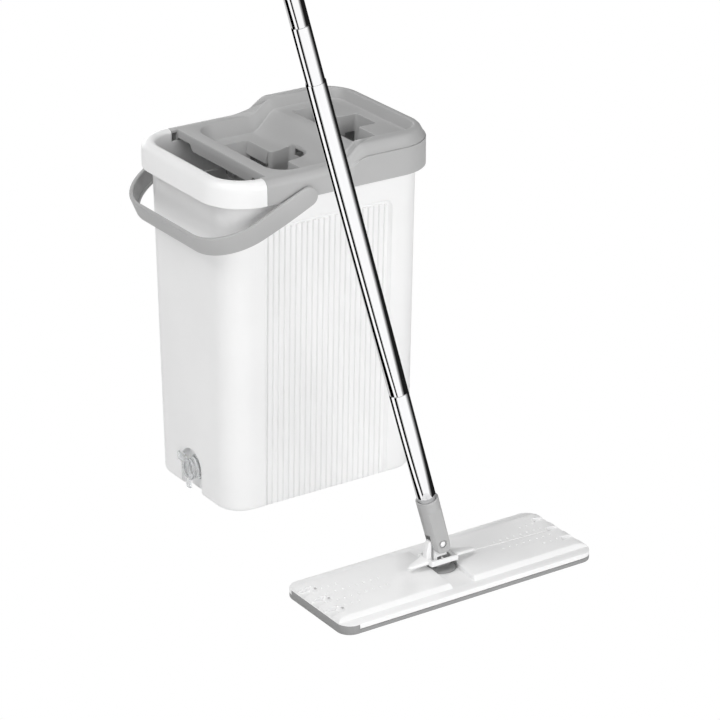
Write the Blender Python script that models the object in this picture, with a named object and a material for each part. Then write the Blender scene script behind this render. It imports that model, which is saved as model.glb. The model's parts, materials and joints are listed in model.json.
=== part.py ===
"""Flat mop and bucket with wringer: a tall tub with a lift-out wringer lid, a carrying handle and a
drain plug, and a flat mop with a telescopic pole standing beside it.

Metres, +Z up. The origin is the middle of the tub's flat underside. +X runs along the tub's long
side, away from the pouring end. The mop stands on the -Y side with its plate parallel to X.
"""

import math

import bmesh
import bpy
from mathutils import Matrix, Vector

GAP = 0.00035                 # clearance between pieces that touch or slide
CORNER_STEPS = 6              # segments in a quarter round
ROUND = 24                    # sides of a turned piece

# tub
TUB_HEIGHT = 0.392            # top of the wall under the lid
TUB_FOOT = (0.129, 0.085, 0.031)       # half length, half width, corner radius at the floor
TUB_TOP = (0.1305, 0.0965, 0.035)      # the same just under the rim
TUB_TOP_LEVEL = 0.377
TUB_WALL = 0.0028
TUB_FLOOR = 0.0055
FOOT_ROUND = 0.007
RIM = (0.144, 0.111, 0.054)   # outside of the rim and of the lid's skirt
RIM_BOTTOM = 0.377
RIM_TOP = 0.4055
SPOUT_END = -0.0910           # where the tub's own rim gives way to the lid
PANEL_HALF = 0.0843           # ribbed panel in the front and back faces
PANEL_TOP = 0.346
PANEL_DEPTH = 0.004
DRAIN_Y, DRAIN_Z = 0.002, 0.028
NICHE_HALF = 0.0225
NICHE_SPRING = 0.030          # height where the niche's arch begins
NICHE_BACK = -0.1185
PLUG_FRONT = -0.1350
DRAIN_HOLE = 0.009
STUD = (-0.041, 0.3795)        # X and Z of the handle's pivot
STUD_RADIUS = 0.0045
STUD_REACH = 0.1155

# wringer lid
LID_END = SPOUT_END + 0.0005
LID_WALL = 0.003
LOW_TOP, HIGH_TOP = 0.4050, 0.4220
LOW_DECK, HIGH_DECK = 0.3855, 0.4090
RIM_STEP = (0.013, 0.037)     # where the rim rises
DECK_STEP = (0.012, 0.045)    # where the deck rises
CREASE = 0.410
BASIN = (-0.060, 0.124, 0.084, 0.018)  # left, right, half width at the low deck, corner radius
BASIN_FLARE = 0.30            # how far the basin wall leans out for each metre of height
PARTITION = (-0.0830, 0.388)  # pouring side face of the partition, and its lower edge
THROAT_WALL = 0.0022
# each slot: left, right, half length, end of the pole notch, half width of the notch, throat bottom
WASH_SLOT = (-0.0385, -0.0070, 0.0680, 0.0203, 0.0173, 0.352)
SQUEEZE_SLOT = (0.0550, 0.0865, 0.0690, 0.1118, 0.0205, 0.366)
SCRAPER_DROP = 0.009          # scraper top below its deck
SCRAPER_HALF = 0.0640
SCRAPER_REACH = 0.0115        # how far the lip stands into the slot
SCRAPER_TALL = 0.024
SCREW_PLACES = (-0.040, 0.040)
SCREW_HEAD, SCREW_SHANK, SCREW_HOLE = 0.0030, 0.0015, 0.0019

# carrying handle
HANDLE_INSIDE = 0.1128        # half distance between the arms
HANDLE_THICK = 0.005
HANDLE_REACH = 0.1245         # pivot to the outside of the grip bar
HANDLE_HIGH = 0.022
HANDLE_CORNER = 0.060
HANDLE_DROOP = math.radians(23.4)

# mop
MOP = Vector((-0.0136, -0.336, 0.0))
PLATE = (0.165, 0.0605, 0.016)
SOLE_TOP = 0.0050
PLATE_TOP = 0.0115
DECK_TOP = 0.0163
BUMPER = 0.003
BUMPER_START = 0.1465          # how far from the middle the raised ends begin
VALLEY_HALF = 0.0145
HUB_RADIUS = 0.0165
HUB_SCREW_OUT = 0.0095
HOOK_STRIP = (0.150, 0.011, 0.034)      # half length, half width, distance from the middle
NOTCH_PITCH, NOTCH_HALF = 0.027, 0.0075  # grip notches at the ends of the decks
NOTCH_REACH = (0.138, 0.161)
ROCK_AXIS = 0.0225            # height of the hinge between plate and rocker
PIN = Vector((-0.0180, MOP.y, 0.0445))  # hinge between rocker and pole
LEAN = math.radians(15.7)
POLE_RADIUS = 0.0107
THIN_RADIUS = 0.00995
TUBE_WALL = 0.00045
FORK_PIN, ROCK_PIN = 0.0030, 0.0020     # radii of the two hinge pins
SOCKET_TOP = 0.058
TUBE_START, SPIGOT_END = 0.0470, 0.085
LOWER_SEAM, SLIDE_SEAM, UPPER_SEAM = 0.197, 0.572, 0.6355
TOP_TUBE_END, GRIP_START, GRIP_END = 1.060, 1.040, 1.195


def material(name, colour, roughness, metallic=0.0, transmission=0.0):
    finish = bpy.data.materials.get(name) or bpy.data.materials.new(name)
    finish.use_nodes = True
    shader = finish.node_tree.nodes["Principled BSDF"]
    shader.inputs["Base Color"].default_value = (*colour, 1.0)
    shader.inputs["Roughness"].default_value = roughness
    shader.inputs["Metallic"].default_value = metallic
    shader.inputs["Transmission Weight"].default_value = transmission
    finish.diffuse_color = (*colour, 1.0)
    return finish


def white():
    return material("white_plastic", (0.90, 0.90, 0.90), 0.35)


def grey():
    return material("grey_plastic", (0.42, 0.42, 0.42), 0.5)


def dark_grey():
    return material("dark_grey_plastic", (0.27, 0.27, 0.27), 0.55)


def chrome():
    return material("chromed_tube", (0.85, 0.85, 0.87), 0.08, metallic=1.0)


def steel():
    return material("steel", (0.60, 0.60, 0.62), 0.3, metallic=1.0)


def clear():
    return material("clear_plastic", (0.92, 0.94, 0.95), 0.1, transmission=0.8)


def new_object(name, mesh_maker, finish=None):
    """An object whose mesh is filled in by mesh_maker(bmesh)."""
    shape = bmesh.new()
    mesh_maker(shape)
    bmesh.ops.recalc_face_normals(shape, faces=shape.faces)
    mesh = bpy.data.meshes.new(name)
    shape.to_mesh(mesh)
    shape.free()
    made = bpy.data.objects.new(name, mesh)
    bpy.context.scene.collection.objects.link(made)
    if finish:
        mesh.materials.append(finish)
    return made


def loft(name, rings, finish=None):
    """A closed solid through rings of points, each ring with the same number of them."""
    def fill(shape):
        rows = [[shape.verts.new(point) for point in ring] for ring in rings]
        for lower, upper in zip(rows, rows[1:]):
            for i in range(len(lower)):
                j = (i + 1) % len(lower)
                shape.faces.new((lower[i], lower[j], upper[j], upper[i]))
        shape.faces.new(rows[0])
        shape.faces.new(rows[-1])
    return new_object(name, fill, finish)


def rounded(half_x, half_y, radius, middle=(0.0, 0.0)):
    """A rounded rectangle as (x, y) points, anticlockwise."""
    points = []
    for quarter in range(4):
        side_x = 1 if quarter in (0, 3) else -1
        side_y = 1 if quarter in (0, 1) else -1
        for step in range(CORNER_STEPS + 1):
            turn = math.pi / 2 * (quarter + step / CORNER_STEPS)
            points.append((middle[0] + side_x * (half_x - radius) + radius * math.cos(turn),
                           middle[1] + side_y * (half_y - radius) + radius * math.sin(turn)))
    return points


def level(outline, z):
    return [(x, y, z) for x, y in outline]


def prism(name, outline, bottom, top, finish=None):
    return loft(name, [level(outline, bottom), level(outline, top)], finish)


def box(name, low, high, finish=None):
    outline = [(low[0], low[1]), (high[0], low[1]), (high[0], high[1]), (low[0], high[1])]
    return prism(name, outline, low[2], high[2], finish)


def side_prism(name, outline, low, high, finish=None):
    """An outline of (x, z) points drawn through from y = low to y = high."""
    return loft(name, [[(x, low, z) for x, z in outline], [(x, high, z) for x, z in outline]], finish)


def end_prism(name, outline, low, high, finish=None):
    """An outline of (y, z) points drawn through from x = low to x = high."""
    return loft(name, [[(low, y, z) for y, z in outline], [(high, y, z) for y, z in outline]], finish)


def turned(name, profile, axis="Z", finish=None, sides=ROUND):
    """A solid turned from (radius, distance) points along an axis through the origin."""
    rings = []
    for radius, along in profile:
        ring = []
        for side in range(sides):
            turn = 2 * math.pi * side / sides
            across, up = radius * math.cos(turn), radius * math.sin(turn)
            ring.append({"X": (along, across, up), "Y": (across, along, up),
                         "Z": (across, up, along)}[axis])
        rings.append(ring)
    return loft(name, rings, finish)


def tube(name, outer, inner, start, end, finish):
    """An open tube along Z."""
    def fill(shape):
        rows = []
        for radius, along in ((outer, start), (outer, end), (inner, end), (inner, start)):
            rows.append([shape.verts.new((radius * math.cos(2 * math.pi * i / ROUND),
                                          radius * math.sin(2 * math.pi * i / ROUND), along))
                         for i in range(ROUND)])
        for row, following in zip(rows, rows[1:] + rows[:1]):
            for i in range(ROUND):
                j = (i + 1) % ROUND
                shape.faces.new((row[i], row[j], following[j], following[i]))
    return new_object(name, fill, finish)


def combine(target, other, operation):
    """Apply one Boolean and remove the other object."""
    modifier = target.modifiers.new(operation.lower(), "BOOLEAN")
    modifier.operation = operation
    modifier.object = other
    modifier.solver = "EXACT"
    graph = bpy.context.evaluated_depsgraph_get()
    result = bpy.data.meshes.new_from_object(target.evaluated_get(graph))
    target.modifiers.clear()
    before = target.data
    target.data = result
    bpy.data.meshes.remove(before)
    bpy.data.objects.remove(other)
    return target


def cut(target, *cutters):
    for cutter in cutters:
        combine(target, cutter, "DIFFERENCE")
    return target


def join(target, *others):
    for other in others:
        combine(target, other, "UNION")
    return target


def keep(target, region):
    return combine(target, region, "INTERSECT")


def shift(made, offset):
    made.data.transform(Matrix.Translation(offset))
    return made


def hang(made, parent=None, origin=(0.0, 0.0, 0.0)):
    """Put an object's origin at a point of its own frame, and hang it on a parent."""
    made.data.transform(Matrix.Translation(-Vector(origin)))
    made.location = origin
    made.parent = parent
    made.data.shade_smooth()
    made.data.set_sharp_from_angle(angle=math.radians(35))
    return made


def empty(name, location, tilt=0.0):
    made = bpy.data.objects.new(name, None)
    made.location = location
    made.rotation_euler = (0.0, tilt, 0.0)
    bpy.context.scene.collection.objects.link(made)
    return made


def ramp(x, start, end, low, high):
    """Smooth rise from low to high between two places."""
    part = min(max((x - start) / (end - start), 0.0), 1.0)
    return low + (high - low) * part * part * (3 - 2 * part)


def ramp_profile(step, low, high, drop=0.0):
    """The (x, z) points of everything above a ramped level, lowered by drop."""
    steps = 8
    places = [step[0] + (step[1] - step[0]) * i / steps for i in range(steps + 1)]
    line = [(x, ramp(x, *step, low, high) - drop) for x in [-0.2, *places, 0.2]]
    return [*line, (0.2, 0.5), (-0.2, 0.5)]


# ---------------------------------------------------------------- bucket

def tub_outline(z, inset=0.0):
    part = z / TUB_TOP_LEVEL
    half_x, half_y, radius = (a + (b - a) * part for a, b in zip(TUB_FOOT, TUB_TOP))
    return rounded(half_x - inset, half_y - inset, radius - inset)


def leaning_slab(name, side, half, top, outside, inside):
    """A round-topped slab against the front or back face; outside and inside are depths in the wall."""
    radius = 0.010
    outline = [(-half, -0.01), (half, -0.01)]
    for centre, start in ((half - radius, 0.0), (radius - half, math.pi / 2)):
        for step in range(5):
            turn = start + math.pi / 8 * step
            outline.append((centre + radius * math.cos(turn), top - radius + radius * math.sin(turn)))
    slab = side_prism(name, outline, side * (TUB_FOOT[1] - outside), side * (TUB_FOOT[1] - inside))
    lean = (TUB_TOP[1] - TUB_FOOT[1]) / TUB_TOP_LEVEL
    for point in slab.data.vertices:
        point.co.y += side * lean * point.co.z
    return slab


def arch(half, bottom, spring):
    """The (y, z) outline of a round-topped opening at the drain."""
    outline = [(DRAIN_Y - half, bottom), (DRAIN_Y + half, bottom)]
    for step in range(9):
        turn = math.pi * step / 8
        outline.append((DRAIN_Y + half * math.cos(turn), spring + half * math.sin(turn)))
    return outline


def make_tub():
    rings = []
    for step in range(4):
        turn = math.radians(30 * step)
        z = FOOT_ROUND * (1 - math.cos(turn))
        rings.append(level(tub_outline(z, FOOT_ROUND * (1 - math.sin(turn))), z))
    rings.append(level(tub_outline(TUB_HEIGHT), TUB_HEIGHT))
    tub = loft("tub", rings, white())

    edge = 0.007
    rim_rings = [level(rounded(*RIM), RIM_BOTTOM)]
    for step in range(4):
        turn = math.radians(30 * step)
        inset = edge * (1 - math.cos(turn))
        outline = rounded(RIM[0] - inset, RIM[1] - inset, RIM[2] - inset)
        rim_rings.append(level(outline, RIM_TOP - edge + edge * math.sin(turn)))
    spout_rim = loft("spout_rim", rim_rings)
    keep(spout_rim, box("spout_side", (-0.2, -0.2, 0.3), (SPOUT_END, 0.2, 0.5)))
    skirt = 0.0035
    channel = prism("channel", rounded(RIM[0] - skirt, RIM[1] - skirt, RIM[2] - skirt),
                    RIM_BOTTOM - 0.01, RIM_TOP - 0.009)
    cut(channel, prism("channel_core", tub_outline(TUB_TOP_LEVEL), 0.3, 0.5))
    keep(channel, box("channel_side", (-0.2, -0.2, 0.3), (SPOUT_END - skirt, 0.2, 0.5)))
    cut(spout_rim, channel)
    join(tub, spout_rim)

    inside = loft("inside", [level(tub_outline(z, TUB_WALL), z) for z in (TUB_FLOOR, 0.45)])
    for side in (-1, 1):
        pad = leaning_slab("pad", side, PANEL_HALF + 0.003, PANEL_TOP + 0.003, -0.01,
                           TUB_WALL + PANEL_DEPTH)
        cut(inside, pad)
    niche_pad = end_prism("niche_pad", arch(NICHE_HALF + 0.003, -0.01, NICHE_SPRING), -0.2,
                          NICHE_BACK + TUB_WALL)
    cut(inside, niche_pad)
    cut(tub, inside)
    for side in (-1, 1):
        cut(tub, leaning_slab("recess", side, PANEL_HALF, PANEL_TOP, -0.01, PANEL_DEPTH))
    cut(tub, end_prism("niche", arch(NICHE_HALF, -0.01, NICHE_SPRING), -0.2, NICHE_BACK))
    cut(tub, shift(turned("drain_hole", [(DRAIN_HOLE, -0.13), (DRAIN_HOLE, -0.11)], "X"),
                   (0.0, DRAIN_Y, DRAIN_Z)))
    for side in (-1, 1):
        stud = turned("stud", [(STUD_RADIUS, side * 0.0945), (STUD_RADIUS, side * STUD_REACH)], "Y",
                      sides=16)
        join(tub, shift(stud, (STUD[0], 0.0, STUD[1])))
    return hang(tub)


def make_drain_plug():
    """A soft push-in stopper with a finger tab above and a pull tab below."""
    face = NICHE_BACK - GAP
    shank = DRAIN_HOLE - GAP
    front = PLUG_FRONT
    plug = turned("drain_plug", [
        (shank - 0.0015, NICHE_BACK + 0.009), (shank, NICHE_BACK + 0.007), (shank, face),
        (0.0150, face), (0.0150, face - 0.0025), (0.0120, face - 0.0035),
        (0.0120, front + 0.0040), (0.0128, front + 0.0035), (0.0128, front + 0.0010),
        (0.0060, front)], "X", clear())
    tabs = ((0.006, 0.0235, 0.0050, 0.0150), (-0.0045, 0.0045, -0.0235, -0.008))
    for left, right, bottom, top in tabs:
        join(plug, box("tab", (front + 0.0012, left, bottom), (front + 0.0038, right, top)))
    shift(plug, (0.0, DRAIN_Y, DRAIN_Z))
    return hang(plug, origin=(NICHE_BACK, DRAIN_Y, DRAIN_Z))


def slot_outline(slot, grow=0.0):
    """The T of a slot: a slit across the tub and a notch for the mop's pole."""
    left, right, half, notch_end, notch_half, _ = slot
    return [(left - grow, -half - grow), (right + grow, -half - grow),
            (right + grow, -notch_half - grow), (notch_end + grow, -notch_half - grow),
            (notch_end + grow, notch_half + grow), (right + grow, notch_half + grow),
            (right + grow, half + grow), (left - grow, half + grow)]


def basin_outline(z, grow=0.0):
    left, right, half, radius = BASIN
    out = BASIN_FLARE * (z - LOW_DECK) + grow
    outline = rounded((right - left) / 2 + out, half + out, radius + out, ((left + right) / 2, 0.0))
    return outline


def make_lid():
    low_rings = [level(rounded(*RIM), RIM_BOTTOM), level(rounded(*RIM), LOW_TOP - 0.009)]
    for inset, drop in ((0.0020, 0.0040), (0.0055, 0.0010), (0.0090, 0.0)):
        low_rings.append(level(rounded(RIM[0] - inset, RIM[1] - inset, RIM[2] - inset), LOW_TOP - drop))
    lid = loft("wringer_lid", low_rings, grey())

    high = loft("high", [level(rounded(RIM[0] - inset, RIM[1] - inset, RIM[2] - inset), z)
                         for inset, z in ((0.0, RIM_BOTTOM), (0.0, CREASE), (0.0035, CREASE + 0.002),
                                          (0.0060, HIGH_TOP - 0.003), (0.0090, HIGH_TOP))])
    keep(high, box("high_end", (RIM_STEP[0] + 0.002, -0.2, 0.3), (0.2, 0.2, 0.5)))
    cut(high, side_prism("sky", ramp_profile(RIM_STEP, LOW_TOP, HIGH_TOP, -0.0001), -0.2, 0.2))
    join(lid, high)
    cut(lid, box("pour_end", (-0.2, -0.2, 0.3), (LID_END, 0.2, 0.5)),
        box("pour_gap", (-0.2, -0.0945, 0.3), (PARTITION[0], 0.0945, 0.5)))

    under = loft("under", [level(rounded(*(size - inset for size in RIM)), z)
                           for z, inset in ((0.36, LID_WALL), (LOW_TOP - 0.008, LID_WALL),
                                            (LOW_TOP - LID_WALL, 0.0090), (0.45, 0.0120))])
    cut(under, side_prism("roof", ramp_profile(RIM_STEP, LOW_TOP, HIGH_TOP, LID_WALL), -0.2, 0.2))
    tray = loft("tray", [level(basin_outline(z, LID_WALL), z) for z in (0.35, 0.45)])
    keep(tray, side_prism("tray_floor", ramp_profile(DECK_STEP, LOW_DECK, HIGH_DECK, LID_WALL), -0.2, 0.2))
    cut(under, tray, box("under_end", (-0.2, -0.2, 0.3), (PARTITION[0] + LID_WALL, 0.2, 0.5)))
    cut(lid, under)

    basin = loft("basin", [level(basin_outline(z), z) for z in (0.35, 0.45)])
    keep(basin, side_prism("deck", ramp_profile(DECK_STEP, LOW_DECK, HIGH_DECK), -0.2, 0.2))
    cut(lid, basin)

    for slot, deck in ((WASH_SLOT, LOW_DECK), (SQUEEZE_SLOT, HIGH_DECK)):
        join(lid, prism("throat", slot_outline(slot, THROAT_WALL), slot[5], deck - 0.001))
        cut(lid, prism("slot", slot_outline(slot), 0.30, 0.45))

    # room for the tub's wall, the partition's lower edge and the handle's studs
    fit = 0.0006
    wall_slot = prism("wall_slot", tub_outline(TUB_TOP_LEVEL, -0.001), 0.35, TUB_HEIGHT + 0.0005)
    cut(wall_slot, prism("wall_core", tub_outline(TUB_TOP_LEVEL, TUB_WALL + fit), 0.3, 0.5))
    cut(lid, wall_slot)
    behind = PARTITION[0] + LID_WALL + 0.0005
    cut(lid, box("partition_foot", (-0.2, -0.0940, 0.3), (behind, 0.0940, PARTITION[1])))
    for side in (-1, 1):
        near, far = sorted((side * 0.063, side * 0.094))
        cut(lid, box("foot_corner", (-0.2, near, 0.3), (behind, far, PARTITION[1] + 0.0075)))
        clearance = STUD_RADIUS + 0.001
        near, far = sorted((side * 0.100, side * 0.120))
        notch = turned("notch", [(clearance, near), (clearance, far)], "Y", sides=16)
        join(notch, box("notch_mouth", (-clearance, near, -0.03), (clearance, far, 0.0)))
        cut(lid, shift(notch, (STUD[0], 0.0, STUD[1])))
    return lid


def make_scraper(lid, kind, slot, deck):
    """A bar with an angled lip on the slot's left wall, held by two screws from behind."""
    wall = slot[0]
    top = deck - SCRAPER_DROP
    lip = wall + SCRAPER_REACH
    bottom = top - SCRAPER_TALL
    outline = [(wall + GAP, top), (wall + 0.0035, top), (lip, top - 0.015),
               (lip, top - 0.018), (wall + 0.0040, bottom), (wall + GAP, bottom)]
    bar = side_prism(f"{kind}_scraper", outline, -SCRAPER_HALF, SCRAPER_HALF, dark_grey())
    for number, y in enumerate(SCREW_PLACES, 1):
        z = top - 0.017
        for piece, depth in ((lid, 0.0080), (bar, 0.0078)):
            hole = turned("hole", [(SCREW_HOLE, wall - 0.006), (SCREW_HOLE, wall + depth)], "X", sides=12)
            cut(piece, shift(hole, (0.0, y, z)))
        behind = wall - THROAT_WALL - GAP
        screw = turned(f"{kind}_scraper_screw_{number}",
                       [(SCREW_HEAD - 0.0004, behind - 0.0020), (SCREW_HEAD, behind - 0.0012),
                        (SCREW_HEAD, behind), (SCREW_SHANK, behind), (SCREW_SHANK, wall + 0.0070)],
                       "X", steel(), sides=12)
        hang(shift(screw, (0.0, y, z)))
    return hang(bar)


def make_handle():
    """The carrying handle: two arms and a grip bar, drawn flat and then drooped about the pivots."""
    outer = HANDLE_INSIDE + HANDLE_THICK
    outline = []
    for reach, half, radius, direction in ((HANDLE_REACH, outer, HANDLE_CORNER, 1),
                                           (HANDLE_REACH - HANDLE_THICK, HANDLE_INSIDE,
                                            HANDLE_CORNER - HANDLE_THICK, -1)):
        run = [(0.0, half)]
        for step in range(9):
            turn = math.pi / 2 * (1 + step / 8)
            run.append((radius - reach + radius * math.cos(turn),
                        half - radius + radius * math.sin(turn)))
        for step in range(9):
            turn = math.pi * (1 + step / 16)
            run.append((radius - reach + radius * math.cos(turn),
                        radius - half + radius * math.sin(turn)))
        run.append((0.0, -half))
        outline += run[::direction]
    handle = prism("bail_handle", outline, -HANDLE_HIGH / 2, HANDLE_HIGH / 2, grey())
    for side in (-1, 1):
        proud = 0.0003
        join(handle, turned("eye", [(HANDLE_HIGH / 2 + proud, side * (HANDLE_INSIDE - proud)),
                                    (HANDLE_HIGH / 2 + proud, side * (outer + proud))], "Y"))
        socket = STUD_RADIUS + GAP
        cut(handle, turned("socket", [(socket, side * (HANDLE_INSIDE - 0.01)),
                                      (socket, side * (STUD_REACH + GAP))], "Y", sides=16))
    hang(handle)
    handle.location = (STUD[0], 0.0, STUD[1])
    handle.rotation_euler = (0.0, -HANDLE_DROOP, 0.0)
    return handle


# ---------------------------------------------------------------- mop head

def make_bumper(name, side, grow=0.0):
    """The raised edge of the sole at one end, which also wraps round one corner."""
    ring = prism(name, rounded(PLATE[0] + grow, PLATE[1] + grow, PLATE[2] + grow), SOLE_TOP - 0.001,
                 PLATE_TOP - 0.001 + grow)
    inner = BUMPER + grow
    cut(ring, prism("inner", rounded(PLATE[0] - inner, PLATE[1] - inner, PLATE[2] - inner), -0.1, 0.1))
    ends = sorted((side * (BUMPER_START - grow), side * 0.2))
    corner = PLATE[1] - PLATE[2] + grow
    sides = sorted((side * 0.1, -side * corner))
    return keep(ring, box("reach", (ends[0], sides[0], -0.1), (ends[1], sides[1], 0.1)))


def make_sole(parent):
    """The soft underside, with its raised ends and two shallow seats for the hook strips."""
    sole = prism("mop_sole", rounded(*PLATE), 0.0, SOLE_TOP, dark_grey())
    length, width, out = HOOK_STRIP
    for number, side in enumerate((-1, 1), 1):
        join(sole, make_bumper("raised_end", side))
        middle = (0.0, side * out)
        cut(sole, prism("seat", rounded(length + GAP, width + GAP, 0.003, middle), -0.01, 0.0018))
        strip = prism(f"hook_strip_{number}", rounded(length, width, 0.003, middle), 0.0003, 0.0015, white())
        hang(strip, parent)
    return hang(sole, parent)


def make_plate(parent):
    plate = prism("mop_plate", rounded(*PLATE), SOLE_TOP + GAP, PLATE_TOP, white())
    for side in (-1, 1):
        inner, outer = VALLEY_HALF, 0.154
        middle = side * (inner + outer) / 2
        half = (outer - inner) / 2
        join(plate, loft("deck", [
            level(rounded(half, 0.0480, 0.004, (middle, 0.0)), PLATE_TOP - 0.001),
            level(rounded(half, 0.0480, 0.004, (middle, 0.0)), PLATE_TOP),
            level(rounded(half - 0.003, 0.0435, 0.003, (middle, 0.0)), DECK_TOP)]))
        low, high = sorted(side * reach for reach in NOTCH_REACH)
        for y in (-NOTCH_PITCH, 0.0, NOTCH_PITCH):
            cut(plate, box("grip_notch", (low, y - NOTCH_HALF, PLATE_TOP - 0.002),
                           (high, y + NOTCH_HALF, 0.05)))
        cut(plate, make_bumper("bumper_room", side, GAP))
    cut(plate, turned("hub_room", [(HUB_RADIUS + 0.0008, PLATE_TOP), (HUB_RADIUS + 0.0008, 0.05)]))
    for side in (-1, 1):
        for radius, top in ((SCREW_HOLE, 0.05), (SCREW_HEAD + 0.0004, 0.0082)):
            room = turned("screw_room", [(radius, 0.0), (radius, top)], sides=12)
            cut(plate, shift(room, (side * HUB_SCREW_OUT, 0.0, 0.0)))
    return hang(plate, parent)


def make_hub(parent):
    """The dome that carries the rocker's hinge, screwed to the plate from below."""
    base = PLATE_TOP + GAP
    hub = turned("head_hub", [(HUB_RADIUS, base), (HUB_RADIUS - 0.0005, base + 0.0008),
                              (0.0135, base + 0.0018), (0.0090, base + 0.0025)], finish=dark_grey())
    barrel = turned("barrel", [(0.0050, -0.0085), (0.0050, 0.0085)], "X", sides=16)
    neck = box("neck", (-0.0085, -0.0042, base), (0.0085, 0.0042, ROCK_AXIS))
    join(hub, shift(barrel, (0.0, 0.0, ROCK_AXIS)), neck)
    bore = turned("bore", [(ROCK_PIN + GAP, -0.02), (ROCK_PIN + GAP, 0.02)], "X", sides=16)
    cut(hub, shift(bore, (0.0, 0.0, ROCK_AXIS)))
    for number, side in enumerate((-1, 1), 1):
        hole = turned("hole", [(SCREW_HOLE, 0.0), (SCREW_HOLE, 0.0172)], sides=12)
        cut(hub, shift(hole, (side * HUB_SCREW_OUT, 0.0, 0.0)))
        screw = turned(f"hub_screw_{number}",
                       [(SCREW_HEAD - 0.0004, SOLE_TOP + GAP), (SCREW_HEAD, SOLE_TOP + 0.001),
                        (SCREW_HEAD, 0.0078), (SCREW_SHANK, 0.0078), (SCREW_SHANK, 0.0165)],
                       finish=steel(), sides=12)
        hang(shift(screw, (side * HUB_SCREW_OUT, 0.0, 0.0)), parent)
    return hang(hub, parent)


def make_rocker(parent):
    """Cradle with pointed arms, the lug for the pole's hinge and the catch that limits its lean."""
    pin = PIN - MOP
    up = pin.z - ROCK_AXIS
    left, right = pin.x - 0.0175, pin.x + 0.0185
    rocker = box("rocker", (left, -0.0135, 0.0004), (right, 0.0135, 0.0062), white())
    cut(rocker, box("tray", (left + 0.0025, -0.0113, 0.0030), (right - 0.0025, 0.0113, 0.02)))
    cut(rocker, box("hub_room", (-0.0090, -0.0075, -0.02), (0.0090, 0.0075, 0.0052)))
    for side in (-1, 1):
        low, high = sorted((side * 0.0090, side * 0.0125))
        join(rocker, box("cheek", (low, -0.0050, -0.0045), (high, 0.0050, 0.0050)))
    for root, tip in ((left + 0.001, -0.0440), (right - 0.001, 0.0440)):
        sections = []
        for x, half_low, half_high, low, high in ((root, 0.0085, 0.0070, 0.0005, 0.0062),
                                                  (tip, 0.0020, 0.0015, -0.0020, 0.0010)):
            sections.append([(x, -half_low, low), (x, half_low, low), (x, half_high, high),
                             (x, -half_high, high)])
        join(rocker, loft("arm", sections))
    lug = [(pin.x - 0.0085, 0.0010), (pin.x + 0.0085, 0.0010)]
    for step in range(9):
        turn = math.pi * step / 8
        lug.append((pin.x + 0.0075 * math.cos(turn), up + 0.0075 * math.sin(turn)))
    web = side_prism("lug", lug, -0.0046, 0.0046)
    join(rocker, web)
    horn = [(left, 0.001), (left + 0.007, 0.001), (left + 0.0065, 0.012), (left + 0.0075, 0.021),
            (left + 0.0060, 0.0262), (left + 0.0035, 0.0255), (left + 0.0005, 0.018), (left - 0.0005, 0.009)]
    join(rocker, side_prism("horn", horn, -0.0040, 0.0040))
    cut(rocker, box("hinge_room", (-0.0089, -0.0065, -0.02), (0.0089, 0.0065, 0.0057)))
    cut(rocker, turned("rock_bore", [(ROCK_PIN + GAP, -0.0132), (ROCK_PIN + GAP, 0.0132)], "X", sides=16))
    pole_bore = turned("pole_bore", [(FORK_PIN + GAP, -0.02), (FORK_PIN + GAP, 0.02)], "Y", sides=16)
    cut(rocker, shift(pole_bore, (pin.x, 0.0, up)))
    hang(turned("rocker_pin", [(ROCK_PIN, -0.0128), (ROCK_PIN, 0.0128)], "X", steel(), sides=16), parent)
    return hang(rocker, parent)


# ---------------------------------------------------------------- pole

def make_socket(parent):
    """Forked socket: a tapering grip for the tube above, two flat cheeks for the hinge below."""
    socket = turned("fork_socket", [(0.0108, -0.0120), (0.0137, SOCKET_TOP)], finish=grey(), sides=32)
    for side in (-1, 1):
        low, high = sorted((side * 0.0106, side * 0.03))
        cut(socket, box("flat", (-0.03, low, -0.03), (0.03, high, 0.045)))
    bullet = [(0.020, 0.100), (-0.020, 0.100)]
    for step in range(13):
        turn = math.pi * (1 + step / 12)
        bullet.append((0.0109 * math.cos(turn), 0.0109 * math.sin(turn)))
    keep(socket, side_prism("bullet", bullet, -0.03, 0.03))
    spigot = POLE_RADIUS - TUBE_WALL - GAP
    tube_room = turned("tube_room", [(POLE_RADIUS + GAP, TUBE_START - GAP), (POLE_RADIUS + GAP, 0.1)])
    join(socket, turned("spigot", [(spigot, SOCKET_TOP - 0.01), (spigot, SPIGOT_END)]))
    cut(tube_room, turned("spigot_room", [(spigot, 0.0), (spigot, 0.2)]))
    pin_hole = turned("pin_hole", [(FORK_PIN + GAP, -0.02), (FORK_PIN + GAP, 0.02)], "Y", sides=16)
    cut(socket, pin_hole, tube_room, box("gap", (-0.02, -0.0051, -0.03), (0.02, 0.0051, 0.0155)))
    for side in (-1, 1):
        recess = turned("recess", [(0.0047, side * 0.0086), (0.0047, side * 0.02)], "Y", sides=16)
        cut(socket, recess)
    head = 0.0042
    hang(turned("fork_pin", [(head, -0.0104), (head, -0.0089), (FORK_PIN, -0.0089), (FORK_PIN, 0.0089),
                             (head, 0.0089), (head, 0.0104)], "Y", white(), sides=16), parent)
    return hang(socket, parent)


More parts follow.
